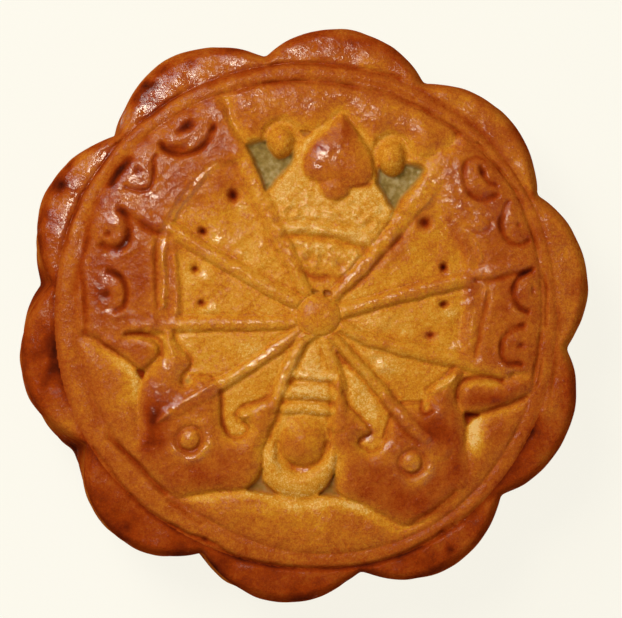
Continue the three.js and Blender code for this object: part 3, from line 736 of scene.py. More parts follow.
# Thin ridges that stand beside some of the lines, painted paler as a painted highlight: points, half width,
# lift.
WING_BEADS = [
    ([(-11.4, -9.0), (-13.2, -10.1), (-15.0, -11.2), (-16.6, -12.1), (-18.2, -13.3), (-19.8, -14.5)],
     0.30, 0.22),
    ([(21.4, -10.8), (22.2, -9.9), (23.5, -9.35), (25.0, -9.45), (26.4, -9.35)], 0.40, 0.18),
    ([(-24.0, -3.4), (-22.4, -3.5), (-21.0, -4.0), (-20.3, -4.7)], 0.40, 0.16),
    ([(17.8, -10.4), (19.0, -9.6), (20.3, -8.6)], 0.45, 0.20),
    ([(-8.3, -13.8), (-6.6, -13.0), (-5.2, -12.3)], 0.50, 0.14),
    ([(-17.4, -18.4), (-15.8, -19.5), (-13.8, -19.0), (-12.7, -17.6)], 0.50, 0.16),
    ([(15.4, -22.9), (16.5, -22.4), (17.2, -21.4)], 0.60, 0.08),
    ([(-19.0, -3.4), (-18.4, -4.6), (-17.6, -5.6)], 0.50, 0.12),
]
# Lumps the dough kept, here and in the fields above, painted a little paler as a painted highlight: place,
# radii, lift, turn.
WING_LUMPS = [
    ((-8.1, -13.7), (0.75, 0.7), 0.42, 0), ((-5.4, -12.5), (1.3, 0.6), 0.18, 25),
    ((-19.0, -6.4), (0.9, 0.8), 0.16, 0), ((-14.3, -9.7), (0.8, 0.6), 0.16, 0),
    ((-15.8, -11.4), (1.2, 0.5), 0.12, 30), ((-7.2, -16.7), (0.8, 0.9), 0.14, 0),
    ((8.9, -5.4), (0.9, 0.7), 0.24, 0), ((11.0, -7.3), (1.3, 0.7), 0.26, -10),
    ((9.6, -12.4), (0.6, 0.6), 0.18, 0), ((12.4, -5.3), (0.9, 0.4), 0.14, -15),
    ((18.8, -9.6), (1.5, 0.45), 0.20, 40), ((18.4, -13.4), (0.7, 0.7), 0.22, 0),
    ((8.3, -15.5), (0.7, 0.7), 0.34, 0), ((10.8, -18.7), (1.4, 0.7), 0.20, 40),
    ((20.4, -4.8), (0.9, 0.5), 0.20, 25), ((9.9, -1.6), (1.4, 0.9), 0.16, 0),
    ((23.8, 12.0), (1.3, 0.7), 0.14, 25), ((6.8, -8.6), (1.0, 2.0), 0.14, 15),
    ((-24.0, 8.4), (1.2, 0.5), 0.16, 20), ((-29.6, -1.7), (0.5, 0.4), 0.18, 0),
    ((-31.2, -2.6), (0.5, 0.5), 0.16, 0), ((-12.2, 1.0), (1.0, 0.5), 0.14, 20),
    ((-8.3, 8.2), (0.6, 0.5), 0.16, 0), ((-5.8, 6.9), (0.9, 0.7), 0.16, 0),
    ((-3.4, 4.7), (0.7, 0.6), 0.14, 0), ((-5.6, 9.5), (0.5, 0.4), 0.14, 0),
    ((10.8, -7.4), (0.9, 0.8), 0.14, 0), ((22.4, 1.6), (0.9, 0.5), 0.14, 35),
    ((22.0, -11.0), (0.5, 1.0), 0.14, -20),
]


def press_lower_wings(face):
    for outline, crest, edge, browning, blend in WING_PLATES:
        face.pad(outline, crest, edge, browning, blend)
    face.ridge(WING_FOLD, 1.1, 0.18, 0.52, ride=1.0, taper=(1.0, 0.7), valley_depth=0.05)
    for outline, floor in OPEN_CORNERS:
        # Painted near black: painted shade in the deep corners.
        face.hollow(outline, floor, 0.30, 0.85)
    for outline, floor, paste in CURL_MIDDLES:
        face.hollow(outline, floor, 0.2, 0.3, paste)


def press_eye_spot(face, centre, radius):
    """A button in a moat. The moat is deeper and the rim higher towards the lower right. The moat is painted
    darker as painted shade and the rim paler as a painted highlight, most towards the lower right.
    """
    spot, away = face.away(centre, (1, 1), 5)
    towards = (face.x[spot] - centre[0]) - (face.y[spot] - centre[1])
    below = 0.5 + 0.5 * towards / (1.42 * away + 0.01)
    moat = bell(away - radius - EYE_MOAT[0], EYE_MOAT[1]) * (0.5 + 0.5 * below)
    rim = bell(away - radius - EYE_RIM[0], EYE_RIM[1]) * (0.3 + below)
    face.z[spot] += EYE_RIM[2] * rim + EYE_MOAT[2] * moat + EYE_BUTTON * dome(away / radius)
    face.gloss[spot] += 0.4 * rim + 0.5 * ease(radius, 0, away)
    # Painted shade in the moat and painted highlight on the rim.
    face.brown_and_painted_light[spot] += 0.06 * moat - 0.06 * rim
    face.tint(spot, ease(radius, radius - 0.5, away), 0.40)


def score_lower_wings(face):
    face.score(WING_LINES, width=0.95, depth=0.95, browning=0.65)
    for points, width, lift in WING_BEADS:
        # Painted paler: painted highlight on the ridges.
        face.groove(points, width, -lift, -0.10)
    for centre, radii, lift, turn in WING_LUMPS:
        # A little paler: painted highlight on the lumps.
        face.swelling(centre, radii, lift, -0.04, turn)
    for centre, radius in EYE_SPOTS:
        press_eye_spot(face, centre, radius)


# --- The head ----------------------------------------------------------------------------------------
# A pale, thin-skinned field with a peaked cap, a chin, two feelers with ball ends, ringed eyes and a
# brow. The dough tore thin in the corners beside it, so the bean paste shows through.
HEAD = [
    (-4.9, 16.6), (-3.0, 18.9), (-1.3, 20.4), (-0.9, 22.5), (0.2, 24.0), (5.0, 26.6), (9.5, 22.2),
    (9.9, 18.6), (12.2, 14.2), (12.0, 12.2), (9.6, 9.4), (7.0, 6.8), (4.9, 4.8), (2.6, 4.0), (0.5, 4.8),
    (-2.2, 9.8), (-3.8, 13.2),
]
HEAD_LIFT = 0.40
HEAD_BROWN = 0.15
LEFT_CORNER = [
    (-5.05, 16.6), (-3.0, 18.8), (-1.4, 20.4), (-1.6, 22.6), (-4.2, 23.6), (-5.5, 23.9), (-7.9, 23.1),
    (-7.5, 21.7), (-6.6, 19.8), (-5.9, 18.2),
]
RIGHT_CORNER = [
    (12.25, 14.0), (13.5, 15.7), (16.4, 19.1), (16.6, 20.1), (14.9, 20.6), (12.0, 21.0), (10.1, 20.0),
    (9.85, 18.6), (10.0, 17.2),
]
CORNER_WALL = 0.75
CAP_NOTCH = [(-0.6, 25.1), (0.4, 25.1), (1.2, 24.9), (0.7, 24.3), (-0.2, 24.3)]
CAP = [
    (5.2, 27.5), (6.6, 26.1), (8.2, 24.0), (9.4, 21.8), (9.7, 19.8), (9.2, 18.1), (7.8, 17.2), (5.0, 17.0),
    (2.6, 17.3), (1.2, 17.9), (0.1, 18.6), (-0.3, 20.0), (-0.1, 21.6), (0.7, 23.2), (2.2, 24.9),
    (3.8, 26.4),
]
CAP_HEART = [
    (5.3, 26.8), (6.8, 24.9), (8.2, 22.6), (8.9, 20.4), (9.0, 18.4), (8.6, 17.2), (6.4, 17.2), (4.0, 16.8),
    (2.2, 17.6), (0.8, 18.6), (0.0, 20.0), (0.6, 22.0), (2.2, 23.9), (4.0, 25.6),
]
CAP_CREST = 1.36
# The darker marks on the cap: place, radii, browning.
CAP_MARKS = [
    ((2.0, 22.6), (0.9, 0.5), 0.20), ((5.7, 25.2), (0.7, 1.4), 0.16), ((7.6, 17.4), (1.2, 0.4), 0.14),
]
CAP_LUMP = ((2.7, 21.6), (1.0, 0.9), 0.20)
CORNER_LUMP = ((-4.6, 18.4), (0.9, 0.5), 0.25)
CHIN = ((4.3, 17.2), (2.3, 2.05), 1.18, 0.0, 0.48)      # place, radii, crest, foot, browning
FEELER_BALLS = [((-3.1, 23.5), (2.0, 2.45)), ((12.0, 21.4), (2.1, 2.6))]
FEELER_MOAT = (0.25, 0.5, 0.32)     # how far out, how broad and how deep
FEELER_KNOB = (1.20, -1.4, 0.30)    # crest, foot and browning of a ball
# The eyes and the cheeks: place and radius, then the height or depth and the breadth of their parts.
EYES = [((-1.8, 13.9), 0.95), ((8.9, 12.4), 1.05)]
EYE_SHAPE = {"ring": (0.16, 0.30), "pit": (0.22, 0.42), "browning": (0.12, 0.50)}
CHEEKS = [((0.7, 7.5), 1.15), ((4.9, 6.9), 1.15)]
CHEEK_SHAPE = {"ring": (0.20, 0.38), "pit": (0.20, 0.50), "browning": (0.16, 0.60)}
# The brow, the mouth and the sides of the head: points, half width, depth, browning.
# Their grooves are darker, partly pooled wash and partly painted shade; the raised ones are a little paler,
# a painted highlight.
HEAD_LINES = [
    ([(-2.8, 11.5), (0.0, 11.6), (3.0, 11.3), (6.0, 10.7), (9.0, 9.9)], 0.60, -0.28, -0.02),
    ([(-2.6, 10.6), (0.0, 10.5), (3.0, 10.1), (6.0, 9.5), (8.4, 8.9)], 0.46, 0.34, 0.22),
    ([(-2.9, 12.6), (0.0, 12.7), (4.0, 12.4), (8.0, 11.5)], 0.40, 0.16, 0.08),
    ([(-2.0, 9.5), (0.6, 9.3), (3.4, 8.9)], 0.50, -0.18, -0.02),
    ([(5.5, 5.9), (6.2, 6.9), (7.1, 8.0)], 0.34, -0.26, -0.06),
    ([(-0.3, 5.8), (0.6, 5.2), (2.2, 4.9), (3.6, 5.2), (4.9, 4.9)], 0.45, 0.26, 0.20),
    ([(5.6, 2.9), (7.0, 4.0), (8.9, 5.5), (10.1, 7.1), (11.8, 9.1), (12.8, 10.4)], 0.38, 0.10, 0.12),
]
# Lumps the dough kept, painted a little paler as a painted highlight: place, radii, lift, turn.
HEAD_LUMPS = [
    ((-2.2, 15.6), (0.9, 0.7), 0.14, 0), ((4.0, 13.8), (0.8, 0.35), 0.14, -20),
    ((6.8, 13.4), (0.9, 0.35), 0.12, 20), ((0.6, 8.9), (0.6, 0.3), 0.12, 0),
    ((3.4, 7.8), (0.45, 0.35), 0.14, 0), ((8.2, 15.2), (0.9, 0.9), 0.12, 0),
    ((-0.6, 17.4), (0.6, 0.5), 0.12, 0), ((0.4, 16.3), (0.6, 0.6), 0.10, 0),
    ((2.6, 13.0), (1.2, 0.5), 0.08, 0),
]
# Two small tears between the head and the hub: outline, height, browning, how much of the paste shows.
NECK_TEARS = [
    ([(1.1, 3.1), (2.0, 3.1), (2.3, 2.8), (1.4, 2.5)], -0.5, 0.4, 0.9),
    ([(2.7, 3.1), (3.6, 3.2), (3.8, 2.6), (2.9, 2.3)], -0.8, 0.5, 0.7),
]


def press_head(face):
    spot = face.near(HEAD, 1.5)
    depth = depth_inside(face.x[spot], face.y[spot], curve(HEAD, closed=True))
    rise = HEAD_LIFT * ease(5.0, 13.0, face.y[spot]) * ease(-0.3, 0.8, depth)
    face.z[spot] = np.maximum(face.z[spot], rise)
    face.tint(spot, ease(-0.4, 0.8, depth) * ease(5.5, 12.0, face.y[spot]), HEAD_BROWN)
    face.hollow(LEFT_CORNER, -1.30, CORNER_WALL, 0.3, 1.0)
    face.hollow(RIGHT_CORNER, -1.40, CORNER_WALL, 0.3, 1.0)
    face.swelling(*CORNER_LUMP, turn=40)
    for centre, radii in FEELER_BALLS:
        spot, away = face.away(centre, radii, 5)
        moat = bell((away - 1) * radii[0] - FEELER_MOAT[0], FEELER_MOAT[1])
        face.z[spot] -= FEELER_MOAT[2] * moat * (face.z[spot] > -0.5)
        face.knob(centre, radii, *FEELER_KNOB)
    face.hollow(CAP_NOTCH, -0.5, 0.25, 0.45, 0.7)
    face.pad(CAP, CAP_CREST, 3.0, 0.36)
    face.knob(*CHIN)
    spot, depth = face.inside(CAP_HEART, 1.0)
    face.tint(spot, ease(-0.6, 0.5, depth), 0.52)
    for centre, radii, browning in CAP_MARKS:
        face.swelling(centre, radii, 0, browning)
    face.swelling(*CAP_LUMP)


def score_head(face):
    for centre, radius in EYES:
        face.ringed_pit(centre, radius, **EYE_SHAPE)
    for centre, radius in CHEEKS:
        face.ringed_pit(centre, radius, **CHEEK_SHAPE)
    for points, width, depth, browning in HEAD_LINES:
        face.groove(points, width, depth, browning)
    spot = face.near([(-4, 5), (11, 17)], 1)
    rough = ease(16.5, 15, face.y[spot]) * ease(4.5, 7, face.y[spot])
    face.z[spot] += 0.07 * rough * swell(face.x[spot], face.y[spot], 0.8, 12)
    for centre, radii, lift, turn in HEAD_LUMPS:
        # A little paler: painted highlight on the lumps.
        face.swelling(centre, radii, lift, -0.02, turn)
    for outline, floor, browning, paste in NECK_TEARS:
        face.hollow(outline, floor, 0.2, browning, paste)


# --- The abdomen and the tail ------------------------------------------------------------------------
# Ribs across a tapered body, a large bead at its end, and a thick pale loop hung round the bead with
# two torn corners beside it.
# The ribs: points, half width, height.
RIBS = [
    ([(-0.9, -8.1), (1.5, -8.5), (4.0, -8.6)], 0.60, 0.42),
    ([(-2.1, -10.5), (0.8, -10.7), (3.6, -10.9)], 0.98, 0.58),
    ([(-2.7, -12.9), (0.6, -12.9), (3.6, -13.2)], 0.66, 0.60),
]
# The lines between them and along the sides of the body: points, half width, depth.
RIB_LINES = [
    ([(-2.0, -9.1), (0.5, -9.2), (3.4, -9.6)], 0.38, 0.24),
    ([(-2.9, -11.9), (0.5, -11.8), (3.7, -12.3)], 0.36, 0.26),
    ([(0.5, -4.2), (-0.3, -6.5), (-1.3, -8.8), (-2.4, -10.8), (-2.9, -12.2), (-3.3, -13.8), (-4.1, -15.4),
      (-4.6, -17.0)], 0.26, 0.30),
    ([(3.5, -9.4), (3.6, -12.0), (3.6, -14.4), (3.8, -16.6)], 0.26, 0.24),
    ([(2.2, -5.0), (2.4, -7.4)], 0.28, 0.14),
]
BEAD = ((-0.1, -17.2), (3.45, 3.95), 0.98, -0.6, 0.43)      # place, radii, crest, foot, browning
# Marks on the bead: place, radii, lift, browning. The first, paler at the bead's upper left, is a painted
# highlight.
BEAD_MARKS = [((-1.9, -15.0), (1.2, 1.0), 0.06, -0.12), ((0.2, -18.2), (1.7, 1.7), 0.07, 0.08)]
# The line that parts the bead from the loop.
BEAD_LINE = [
    (-3.5, -17.4), (-3.0, -19.3), (-1.8, -20.7), (0.0, -21.2), (1.8, -20.6), (3.0, -19.2), (3.4, -17.6),
]
LOOP = [
    (-4.5, -17.4), (-4.6, -19.6), (-4.0, -21.6), (-2.5, -22.9), (-0.4, -23.3), (1.6, -22.7), (3.0, -21.3),
    (3.7, -19.7), (4.2, -17.8),
]
LOOP_WIDTHS = (0.95, 1.05)      # half width at its ends, and how much more in the middle
LOOP_HEIGHTS = (-0.7, 0.9, 0.45)    # its foot, its ends above that, and how much more in the middle
TAIL_CORNERS = [
    [(-5.5, -20.3), (-5.5, -22.2), (-4.6, -23.4), (-3.4, -24.7), (-5.6, -24.4), (-7.8, -23.8),
     (-6.4, -22.2)],
    [(4.15, -20.2), (4.5, -22.0), (4.5, -23.8), (5.1, -25.1), (3.2, -24.9), (2.0, -24.6), (3.2, -23.1),
     (3.9, -21.7)],
]
TAIL_HOLLOW = (-1.25, 0.35, 0.45, 0.75)     # height, breadth of the wall, browning, how much paste shows


def press_loop(face):
    line = curve(LOOP)
    spot = face.near(line, 3)
    distance, along = from_line(face.x[spot], face.y[spot], line)
    section = dome(distance / (LOOP_WIDTHS[0] + LOOP_WIDTHS[1] * np.sin(math.pi * along)**2))
    body = ease(0.0, 0.14, along) * ease(1.0, 0.86, along)
    raised = LOOP_HEIGHTS[0] + (LOOP_HEIGHTS[1] + LOOP_HEIGHTS[2] * body) * np.sqrt(section)
    face.z[spot] = np.where(section > 0, soft_max(face.z[spot], raised, 0.1), face.z[spot])
    face.tint(spot, ease(0.1, 0.5, section) * body, 0.17)


def press_abdomen(face):
    for points, width, crest in RIBS:
        face.ridge(points, width, crest, 0.22, ride=0.3)
    for points, width, depth in RIB_LINES:
        face.groove(points, width, depth, 0.08)
    for outline in TAIL_CORNERS:
        face.hollow(outline, *TAIL_HOLLOW)
    press_loop(face)
    face.knob(*BEAD)
    face.groove(BEAD_LINE, 0.42, 0.34, 0.12)
    for centre, radii, lift, browning in BEAD_MARKS:
        face.swelling(centre, radii, lift, browning)


# --- The baked face as a whole -------------------------------------------------------------------------
# The steps above in the order in which they lie over each other. The heat then browned some places more
# than others, and the egg wash lay thick in some of them, with small wet facets that shine. A few of the
# darker and paler places below are painted shade and painted highlight instead.
# Browner and paler places: place, radii, amount, turn.
BROWN_PATCHES = [
    ((-20.4, -15.0), (1.8, 4.2), 0.30, 12), ((-19.0, -12.0), (2.2, 1.6), 0.14, 20),
    ((-14.0, -21.8), (5.5, 2.2), 0.10, 0), ((-11.0, -19.4), (2.0, 1.6), 0.08, 0),
    ((-21.6, -18.2), (1.0, 1.6), 0.12, 0), ((-28.8, -9.4), (2.4, 1.8), 0.10, 0),
    ((-30.0, -2.8), (3.2, 1.0), 0.18, -15), ((-25.6, -14.4), (2.4, 1.2), 0.06, 40),
    ((-20.0, -24.4), (3.4, 1.2), 0.06, -35), ((18.4, -15.6), (2.8, 1.8), 0.20, -35),
    ((20.8, -20.4), (1.5, 2.8), 0.16, 0), ((14.6, -25.4), (5.2, 2.2), 0.14, -10),
    ((9.6, -22.6), (2.6, 2.4), 0.06, 0), ((9.6, -26.8), (4.0, 1.0), 0.06, -20),
    ((27.0, -15.4), (2.0, 5.0), 0.10, -30), ((24.4, -11.2), (2.4, 0.8), 0.05, -8),
    ((25.0, -22.5), (2.2, 2.4), 0.08, 0), ((-14.6, 15.4), (3.6, 1.8), 0.14, 48),
    ((-17.6, 17.6), (3.6, 1.6), 0.08, 48), ((25.4, -11.6), (3.2, 1.0), 0.12, 10),
    ((-25.2, 20.2), (1.6, 2.6), 0.20, -35), ((-22.0, 23.8), (1.2, 1.0), 0.12, 0),
    ((-16.0, 25.6), (1.8, 1.0), 0.10, 20), ((-13.4, 22.4), (2.4, 1.4), 0.06, 0),
    ((-27.6, 3.0), (2.0, 4.6), 0.14, 0), ((-22.0, 6.0), (1.4, 5.0), 0.10, 0),
    ((-20.8, 12.4), (2.6, 0.8), 0.10, -30), ((-27.8, 14.6), (1.4, 1.8), 0.12, 0),
    ((23.4, 22.8), (2.8, 1.2), 0.14, -45), ((26.2, 16.0), (1.4, 1.6), 0.08, 0),
    # (20.8, 10.2) is painted shade along the inner edge of the right border.
    ((20.8, 10.2), (0.9, 2.2), 0.20, 30), ((22.8, 3.4), (1.3, 1.8), 0.16, 0),
    ((28.4, 1.8), (2.2, 2.0), 0.06, 0), ((27.6, -6.2), (2.4, 1.4), 0.08, 0),
    ((26.0, 8.6), (1.6, 3.0), 0.06, 0), ((0.0, 30.2), (10.0, 1.6), 0.06, 0),
    ((-12.4, 28.0), (1.2, 2.4), 0.06, 20), ((6.6, 25.2), (1.0, 2.2), 0.06, 24),
    ((-16.8, 9.0), (1.2, 0.9), 0.14, 0), ((-12.0, 12.4), (3.4, 2.0), 0.07, -30),
    ((-14.6, 9.2), (3.2, 0.9), 0.06, 30), ((14.0, 5.0), (7.0, 6.0), 0.09, 0),
    ((-7.6, 9.6), (4.4, 3.6), 0.05, -30), ((-10.4, 18.2), (2.6, 1.8), 0.10, 20),
    ((-17.2, 4.0), (1.0, 3.6), 0.08, 0), ((13.4, 9.0), (2.6, 1.6), 0.08, 40),
    ((17.8, 8.4), (1.6, 2.6), 0.08, 0), ((-13.0, -4.6), (2.6, 1.4), 0.05, 0),
]
# (23.3, -16.3), on the right crescent by the open corner, is partly paler dough and partly painted
# highlight; (-1.0, -26.4) and (7.2, -26.6), along the upper edge of the lower crescents, are painted
# highlight.
PALE_PATCHES = [
    ((-23.2, -9.8), (1.2, 2.2), 0.22, 20), ((23.3, -16.3), (1.0, 2.3), 0.62, 0),
    ((0.8, -9.9), (2.6, 4.2), 0.20, 0), ((-1.0, -26.4), (9.0, 0.9), 0.16, 0),
    ((7.2, -26.6), (1.6, 0.7), 0.10, -20), ((8.0, -1.0), (4.0, 1.6), 0.10, -10),
    ((10.0, 3.6), (4.0, 1.6), 0.08, 20), ((10.4, -6.4), (3.4, 1.6), 0.16, -25),
    ((10.6, -6.0), (1.2, 0.5), 0.10, -15), ((1.4, -6.0), (1.4, 2.4), 0.14, 0),
    ((-24.6, -12.4), (1.0, 2.0), 0.08, 0), ((-9.0, -13.4), (2.6, 4.6), 0.16, 0),
    ((-17.6, -5.6), (1.6, 3.2), 0.18, -20), ((-6.4, -18.0), (1.2, 3.4), 0.10, 10),
    ((7.6, -11.2), (2.0, 3.4), 0.14, 25), ((9.8, -18.4), (2.0, 1.4), 0.12, 0),
    ((19.0, -9.4), (2.0, 1.0), 0.16, 40), ((14.4, -13.6), (1.6, 1.0), 0.08, -40),
    ((5.0, -21.0), (1.0, 3.0), 0.10, 0), ((-24.8, -6.4), (2.2, 1.0), 0.10, -30),
    ((-14.0, 22.0), (1.6, 2.8), 0.06, 40), ((16.6, 17.4), (1.8, 2.2), 0.10, -40),
    ((-8.0, 9.4), (2.0, 1.4), 0.05, -30), ((-8.6, 14.5), (1.0, 0.7), 0.16, 0),
    ((-12.0, 10.2), (1.1, 0.7), 0.12, 0), ((-13.6, 5.3), (0.9, 0.6), 0.10, 0),
    ((-13.1, 0.4), (1.2, 0.8), 0.14, 0), ((-5.8, 7.0), (2.4, 1.4), 0.07, -35),
    ((19.6, 0.2), (0.9, 0.7), 0.14, 0), ((14.5, 8.7), (1.2, 0.9), 0.12, 0),
    ((0.8, -28.4), (5.0, 1.4), 0.10, 0), ((15.6, 27.6), (2.6, 1.4), 0.10, -25),
    ((-6.0, 4.0), (2.4, 1.2), 0.08, -30), ((-8.0, -3.6), (3.2, 1.0), 0.06, 10),
    ((7.4, 21.8), (1.0, 2.4), 0.06, 20),
]
# Where the egg wash lay thick, or thin for a negative amount: place, radii, amount, turn.
GLAZE = [
    ((-15.2, 24.8), (4.2, 3.2), 0.50, 10), ((-23.0, 19.0), (3.2, 3.6), 0.50, -30),
    ((-20.6, 16.8), (4.4, 3.6), 0.45, 0), ((-24.2, 18.6), (1.0, 1.3), 0.50, -30),
    ((-25.3, 19.9), (0.9, 2.4), -1.2, -38), ((-22.4, 10.6), (2.6, 1.6), 0.25, -20),
    ((-26.6, 4.8), (1.6, 1.0), 0.60, 20), ((-25.4, 0.4), (1.8, 1.0), 0.50, -20),
    ((-30.4, 8.8), (0.9, 4.6), 0.40, 8), ((-27.4, 0.0), (3.0, 5.0), 0.15, 0),
    ((-18.4, 4.0), (0.9, 4.4), 0.35, 0), ((-15.2, 16.5), (4.6, 0.6), 1.00, 51),
    ((-11.4, 10.4), (3.6, 2.0), 0.35, -30), ((-9.0, 5.8), (5.0, 1.0), 0.45, -30),
    ((2.0, 13.4), (6.0, 3.4), 0.35, 0), ((4.6, 7.4), (4.2, 2.6), 0.45, 0),
    ((9.4, 8.6), (5.0, 1.0), 0.50, 47), ((0.0, 29.0), (10.0, 2.4), 0.34, 0),
    ((-9.6, 27.8), (1.8, 2.2), 0.40, 0), ((12.0, 26.6), (6.0, 2.0), 0.50, -25),
    ((18.4, 18.0), (3.4, 3.4), 0.62, -40), ((22.6, 14.2), (3.6, 2.6), 0.58, -30),
    ((26.6, 14.6), (3.0, 5.0), 0.42, 25), ((23.8, 4.0), (2.0, 3.0), 0.40, 0),
    ((30.2, 4.0), (1.6, 3.0), 0.25, 0), ((11.0, 2.4), (6.0, 0.9), 0.45, 14),
    ((10.4, -1.4), (3.4, 1.6), 0.30, 0), ((10.6, -6.2), (2.6, 1.6), 0.30, -20),
    ((14.8, -20.4), (1.4, 1.4), 0.30, 0), ((-15.4, -10.8), (4.2, 0.5), 0.50, 33),
    ((-19.0, -11.2), (2.0, 1.6), 0.50, 0), ((-6.6, -6.6), (5.6, 0.6), 0.50, 34),
    ((-2.4, -9.6), (0.6, 4.0), 0.50, -18), ((-16.6, -5.4), (2.2, 2.6), 0.45, 0),
    ((0.4, -8.6), (2.4, 2.2), 0.35, 0), ((8.4, -15.6), (1.6, 2.2), 0.30, 0),
    ((-6.2, -1.2), (5.0, 0.9), 0.30, 0),
]
# Wet facets: place, radii, turn. Those along the edge of the left border are pressed flatter.
GLINTS = [
    ((-26.0, 13.1), (1.2, 1.2), 0), ((-26.4, 8.4), (0.9, 0.42), 10), ((-24.9, 8.7), (1.0, 0.42), 25),
    ((-24.2, 9.6), (0.5, 0.4), 0), ((-15.4, 23.2), (0.8, 0.4), 10), ((-23.4, 18.4), (0.6, 0.7), 0),
    ((-20.4, 16.2), (0.7, 0.4), -30), ((-12.4, 26.4), (0.3, 0.9), 15), ((-26.8, 5.0), (0.6, 0.3), 30),
    ((-26.4, 0.6), (0.6, 0.3), 0), ((2.7, 21.5), (1.1, 1.2), 0), ((4.4, 21.8), (0.5, 1.0), 0),
    ((1.8, 19.9), (0.4, 0.4), 0), ((5.9, 6.7), (0.9, 0.35), 50), ((7.6, 8.6), (0.6, 0.25), 48),
    ((-8.5, 14.7), (0.6, 0.45), 0), ((-11.9, 10.3), (0.55, 0.38), -32), ((-13.5, 5.4), (0.45, 0.3), 0),
    ((-12.4, 0.9), (0.5, 0.32), 0), ((-5.7, 9.4), (0.4, 0.35), 0), ((-8.2, 8.1), (0.45, 0.35), 0),
    ((3.7, 13.3), (0.9, 0.3), -20), ((3.8, 7.3), (0.5, 0.4), 0), ((0.3, 7.9), (0.5, 0.3), 0),
    ((-3.0, 19.4), (0.6, 0.3), 45), ((-1.3, 0.4), (0.6, 0.5), 0), ((-4.0, -4.6), (0.9, 0.35), 35),
    ((-5.7, -5.8), (0.9, 0.35), 35), ((-7.4, -7.0), (0.9, 0.35), 34), ((-1.9, -7.0), (0.4, 0.9), -18),
    ((-2.5, -8.4), (0.4, 0.8), -18), ((-3.0, -9.8), (0.35, 0.7), -15), ((-0.4, -9.5), (0.9, 0.3), -5),
    ((0.6, -7.9), (0.8, 0.3), 0), ((-8.2, -13.4), (0.5, 0.4), 0), ((-5.6, -12.4), (0.8, 0.25), 25),
    ((9.2, -5.0), (0.5, 0.25), -10), ((11.2, -5.1), (0.4, 0.2), -20), ((10.4, -6.4), (0.5, 0.22), -12),
    ((11.3, -7.6), (0.4, 0.22), 20), ((4.1, -4.9), (0.3, 0.6), 0), ((8.6, -17.0), (0.5, 0.35), 20),
    ((11.2, -18.0), (0.9, 0.3), 40), ((9.0, -15.4), (0.4, 0.4), 0), ((7.3, -26.2), (1.1, 0.35), -12),
    ((-0.1, -21.5), (1.1, 0.4), 0), ((-17.7, -12.7), (0.9, 0.3), 38), ((-14.4, -11.0), (0.9, 0.3), 33),
    ((-19.6, -10.6), (0.7, 0.4), -20), ((-18.8, -6.7), (0.4, 0.6), 0), ((-20.6, -13.0), (0.3, 0.5), 0),
    ((18.2, -13.6), (0.5, 0.5), 0), ((19.2, -8.8), (0.8, 0.35), 45), ((20.3, -4.5), (1.0, 0.42), 25),
    ((14.5, 8.7), (0.6, 0.35), 30), ((20.6, 5.6), (0.9, 0.35), 15), ((19.8, 0.3), (0.6, 0.35), 20),
    ((17.4, 18.2), (0.4, 0.22), -40), ((20.0, 15.6), (0.5, 0.22), -40), ((23.8, 11.6), (0.8, 0.3), 25),
    ((22.2, 1.9), (0.6, 0.3), 35), ((-6.5, 30.2), (1.0, 0.4), 10), ((1.0, 28.6), (0.8, 0.3), 0),
    ((5.6, 30.6), (0.5, 0.25), 0), ((12.0, 27.2), (0.5, 0.25), -25),
]
EDGE_GLINTS = [
    ((-14.5, 18.0), (1.0, 0.42), 52), ((-15.8, 16.4), (1.0, 0.42), 52), ((-17.0, 14.8), (1.0, 0.42), 52),
    ((-17.9, 13.2), (0.8, 0.42), 62), ((-19.0, 9.6), (0.55, 1.3), -3), ((-18.5, 11.9), (0.3, 0.5), -30),
]
EDGE_PRESS = 0.95


def work_face(x, y):
    """Everything about the top at the given places: z from the plain ground, and how it baked."""
    face = Face(x, y)
    press_ground(face)
    press_head(face)
    press_veins(face)
    press_borders(face)
    press_lower_wings(face)
    lay_veins_over_plates(face)
    press_hub(face)
    press_abdomen(face)
    score_borders(face)
    score_lower_wings(face)
    score_head(face)
    for centre, radii, amount, turn in BROWN_PATCHES:
        face.swelling(centre, radii, 0, amount, turn)
    for centre, radii, amount, turn in PALE_PATCHES:
        face.swelling(centre, radii, 0, -amount, turn)
    for centre, radii, amount, turn in GLAZE:
        face.shine(centre, radii, amount, turn)
    for centre, radii, turn in GLINTS:
        face.glint(centre, radii, turn)
    for centre, radii, turn in EDGE_GLINTS:
        face.glint(centre, radii, turn, EDGE_PRESS)
    face.z += 0.025 * swell(face.x, face.y, 0.7, 6)
    return face


# --- The ring round the face ---------------------------------------------------------------------------
# A low rounded band of the same dough frames the butterfly. It sinks to the face at its inner line, and
# to the lobes in the crease outside it. All along it lie the folds that the dough kept.
# At equal steps of bearing: where its two lines run, how far it drops to each, and how it browned.
RING_OUTER = [34.2, 34.3, 34.6, 34.4, 34.9, 35.5, 34.7, 34.2, 34.3, 34.0, 34.3, 34.3]
RING_INNER = [31.8, 32.1, 33.3, 32.5, 33.1, 33.7, 32.6, 30.7, 30.9, 31.3, 32.4, 32.2]
RING_INNER_DROP = [0.30, 0.26, 0.26, 0.16, 0.14, 0.22, 0.10, 0.30, 0.34, 0.12, 0.10, 0.16]
RING_OUTER_DROP = [0.62, 0.32, 0.22, 0.18, 0.18, 0.34, 0.44, 0.52, 0.42, 0.62, 1.05, 0.95]
RING_BROWN = [0.58, 0.56, 0.56, 0.55, 0.60, 0.60, 0.58, 0.56, 0.56, 0.58, 0.54, 0.56]
RING_CREST = 0.45
RING_PEAK = -0.10       # where the ring is highest, from -1 at its inner line to 1 at its outer
RING_SLOPE = 2.4        # the face slopes to the ring over this breadth
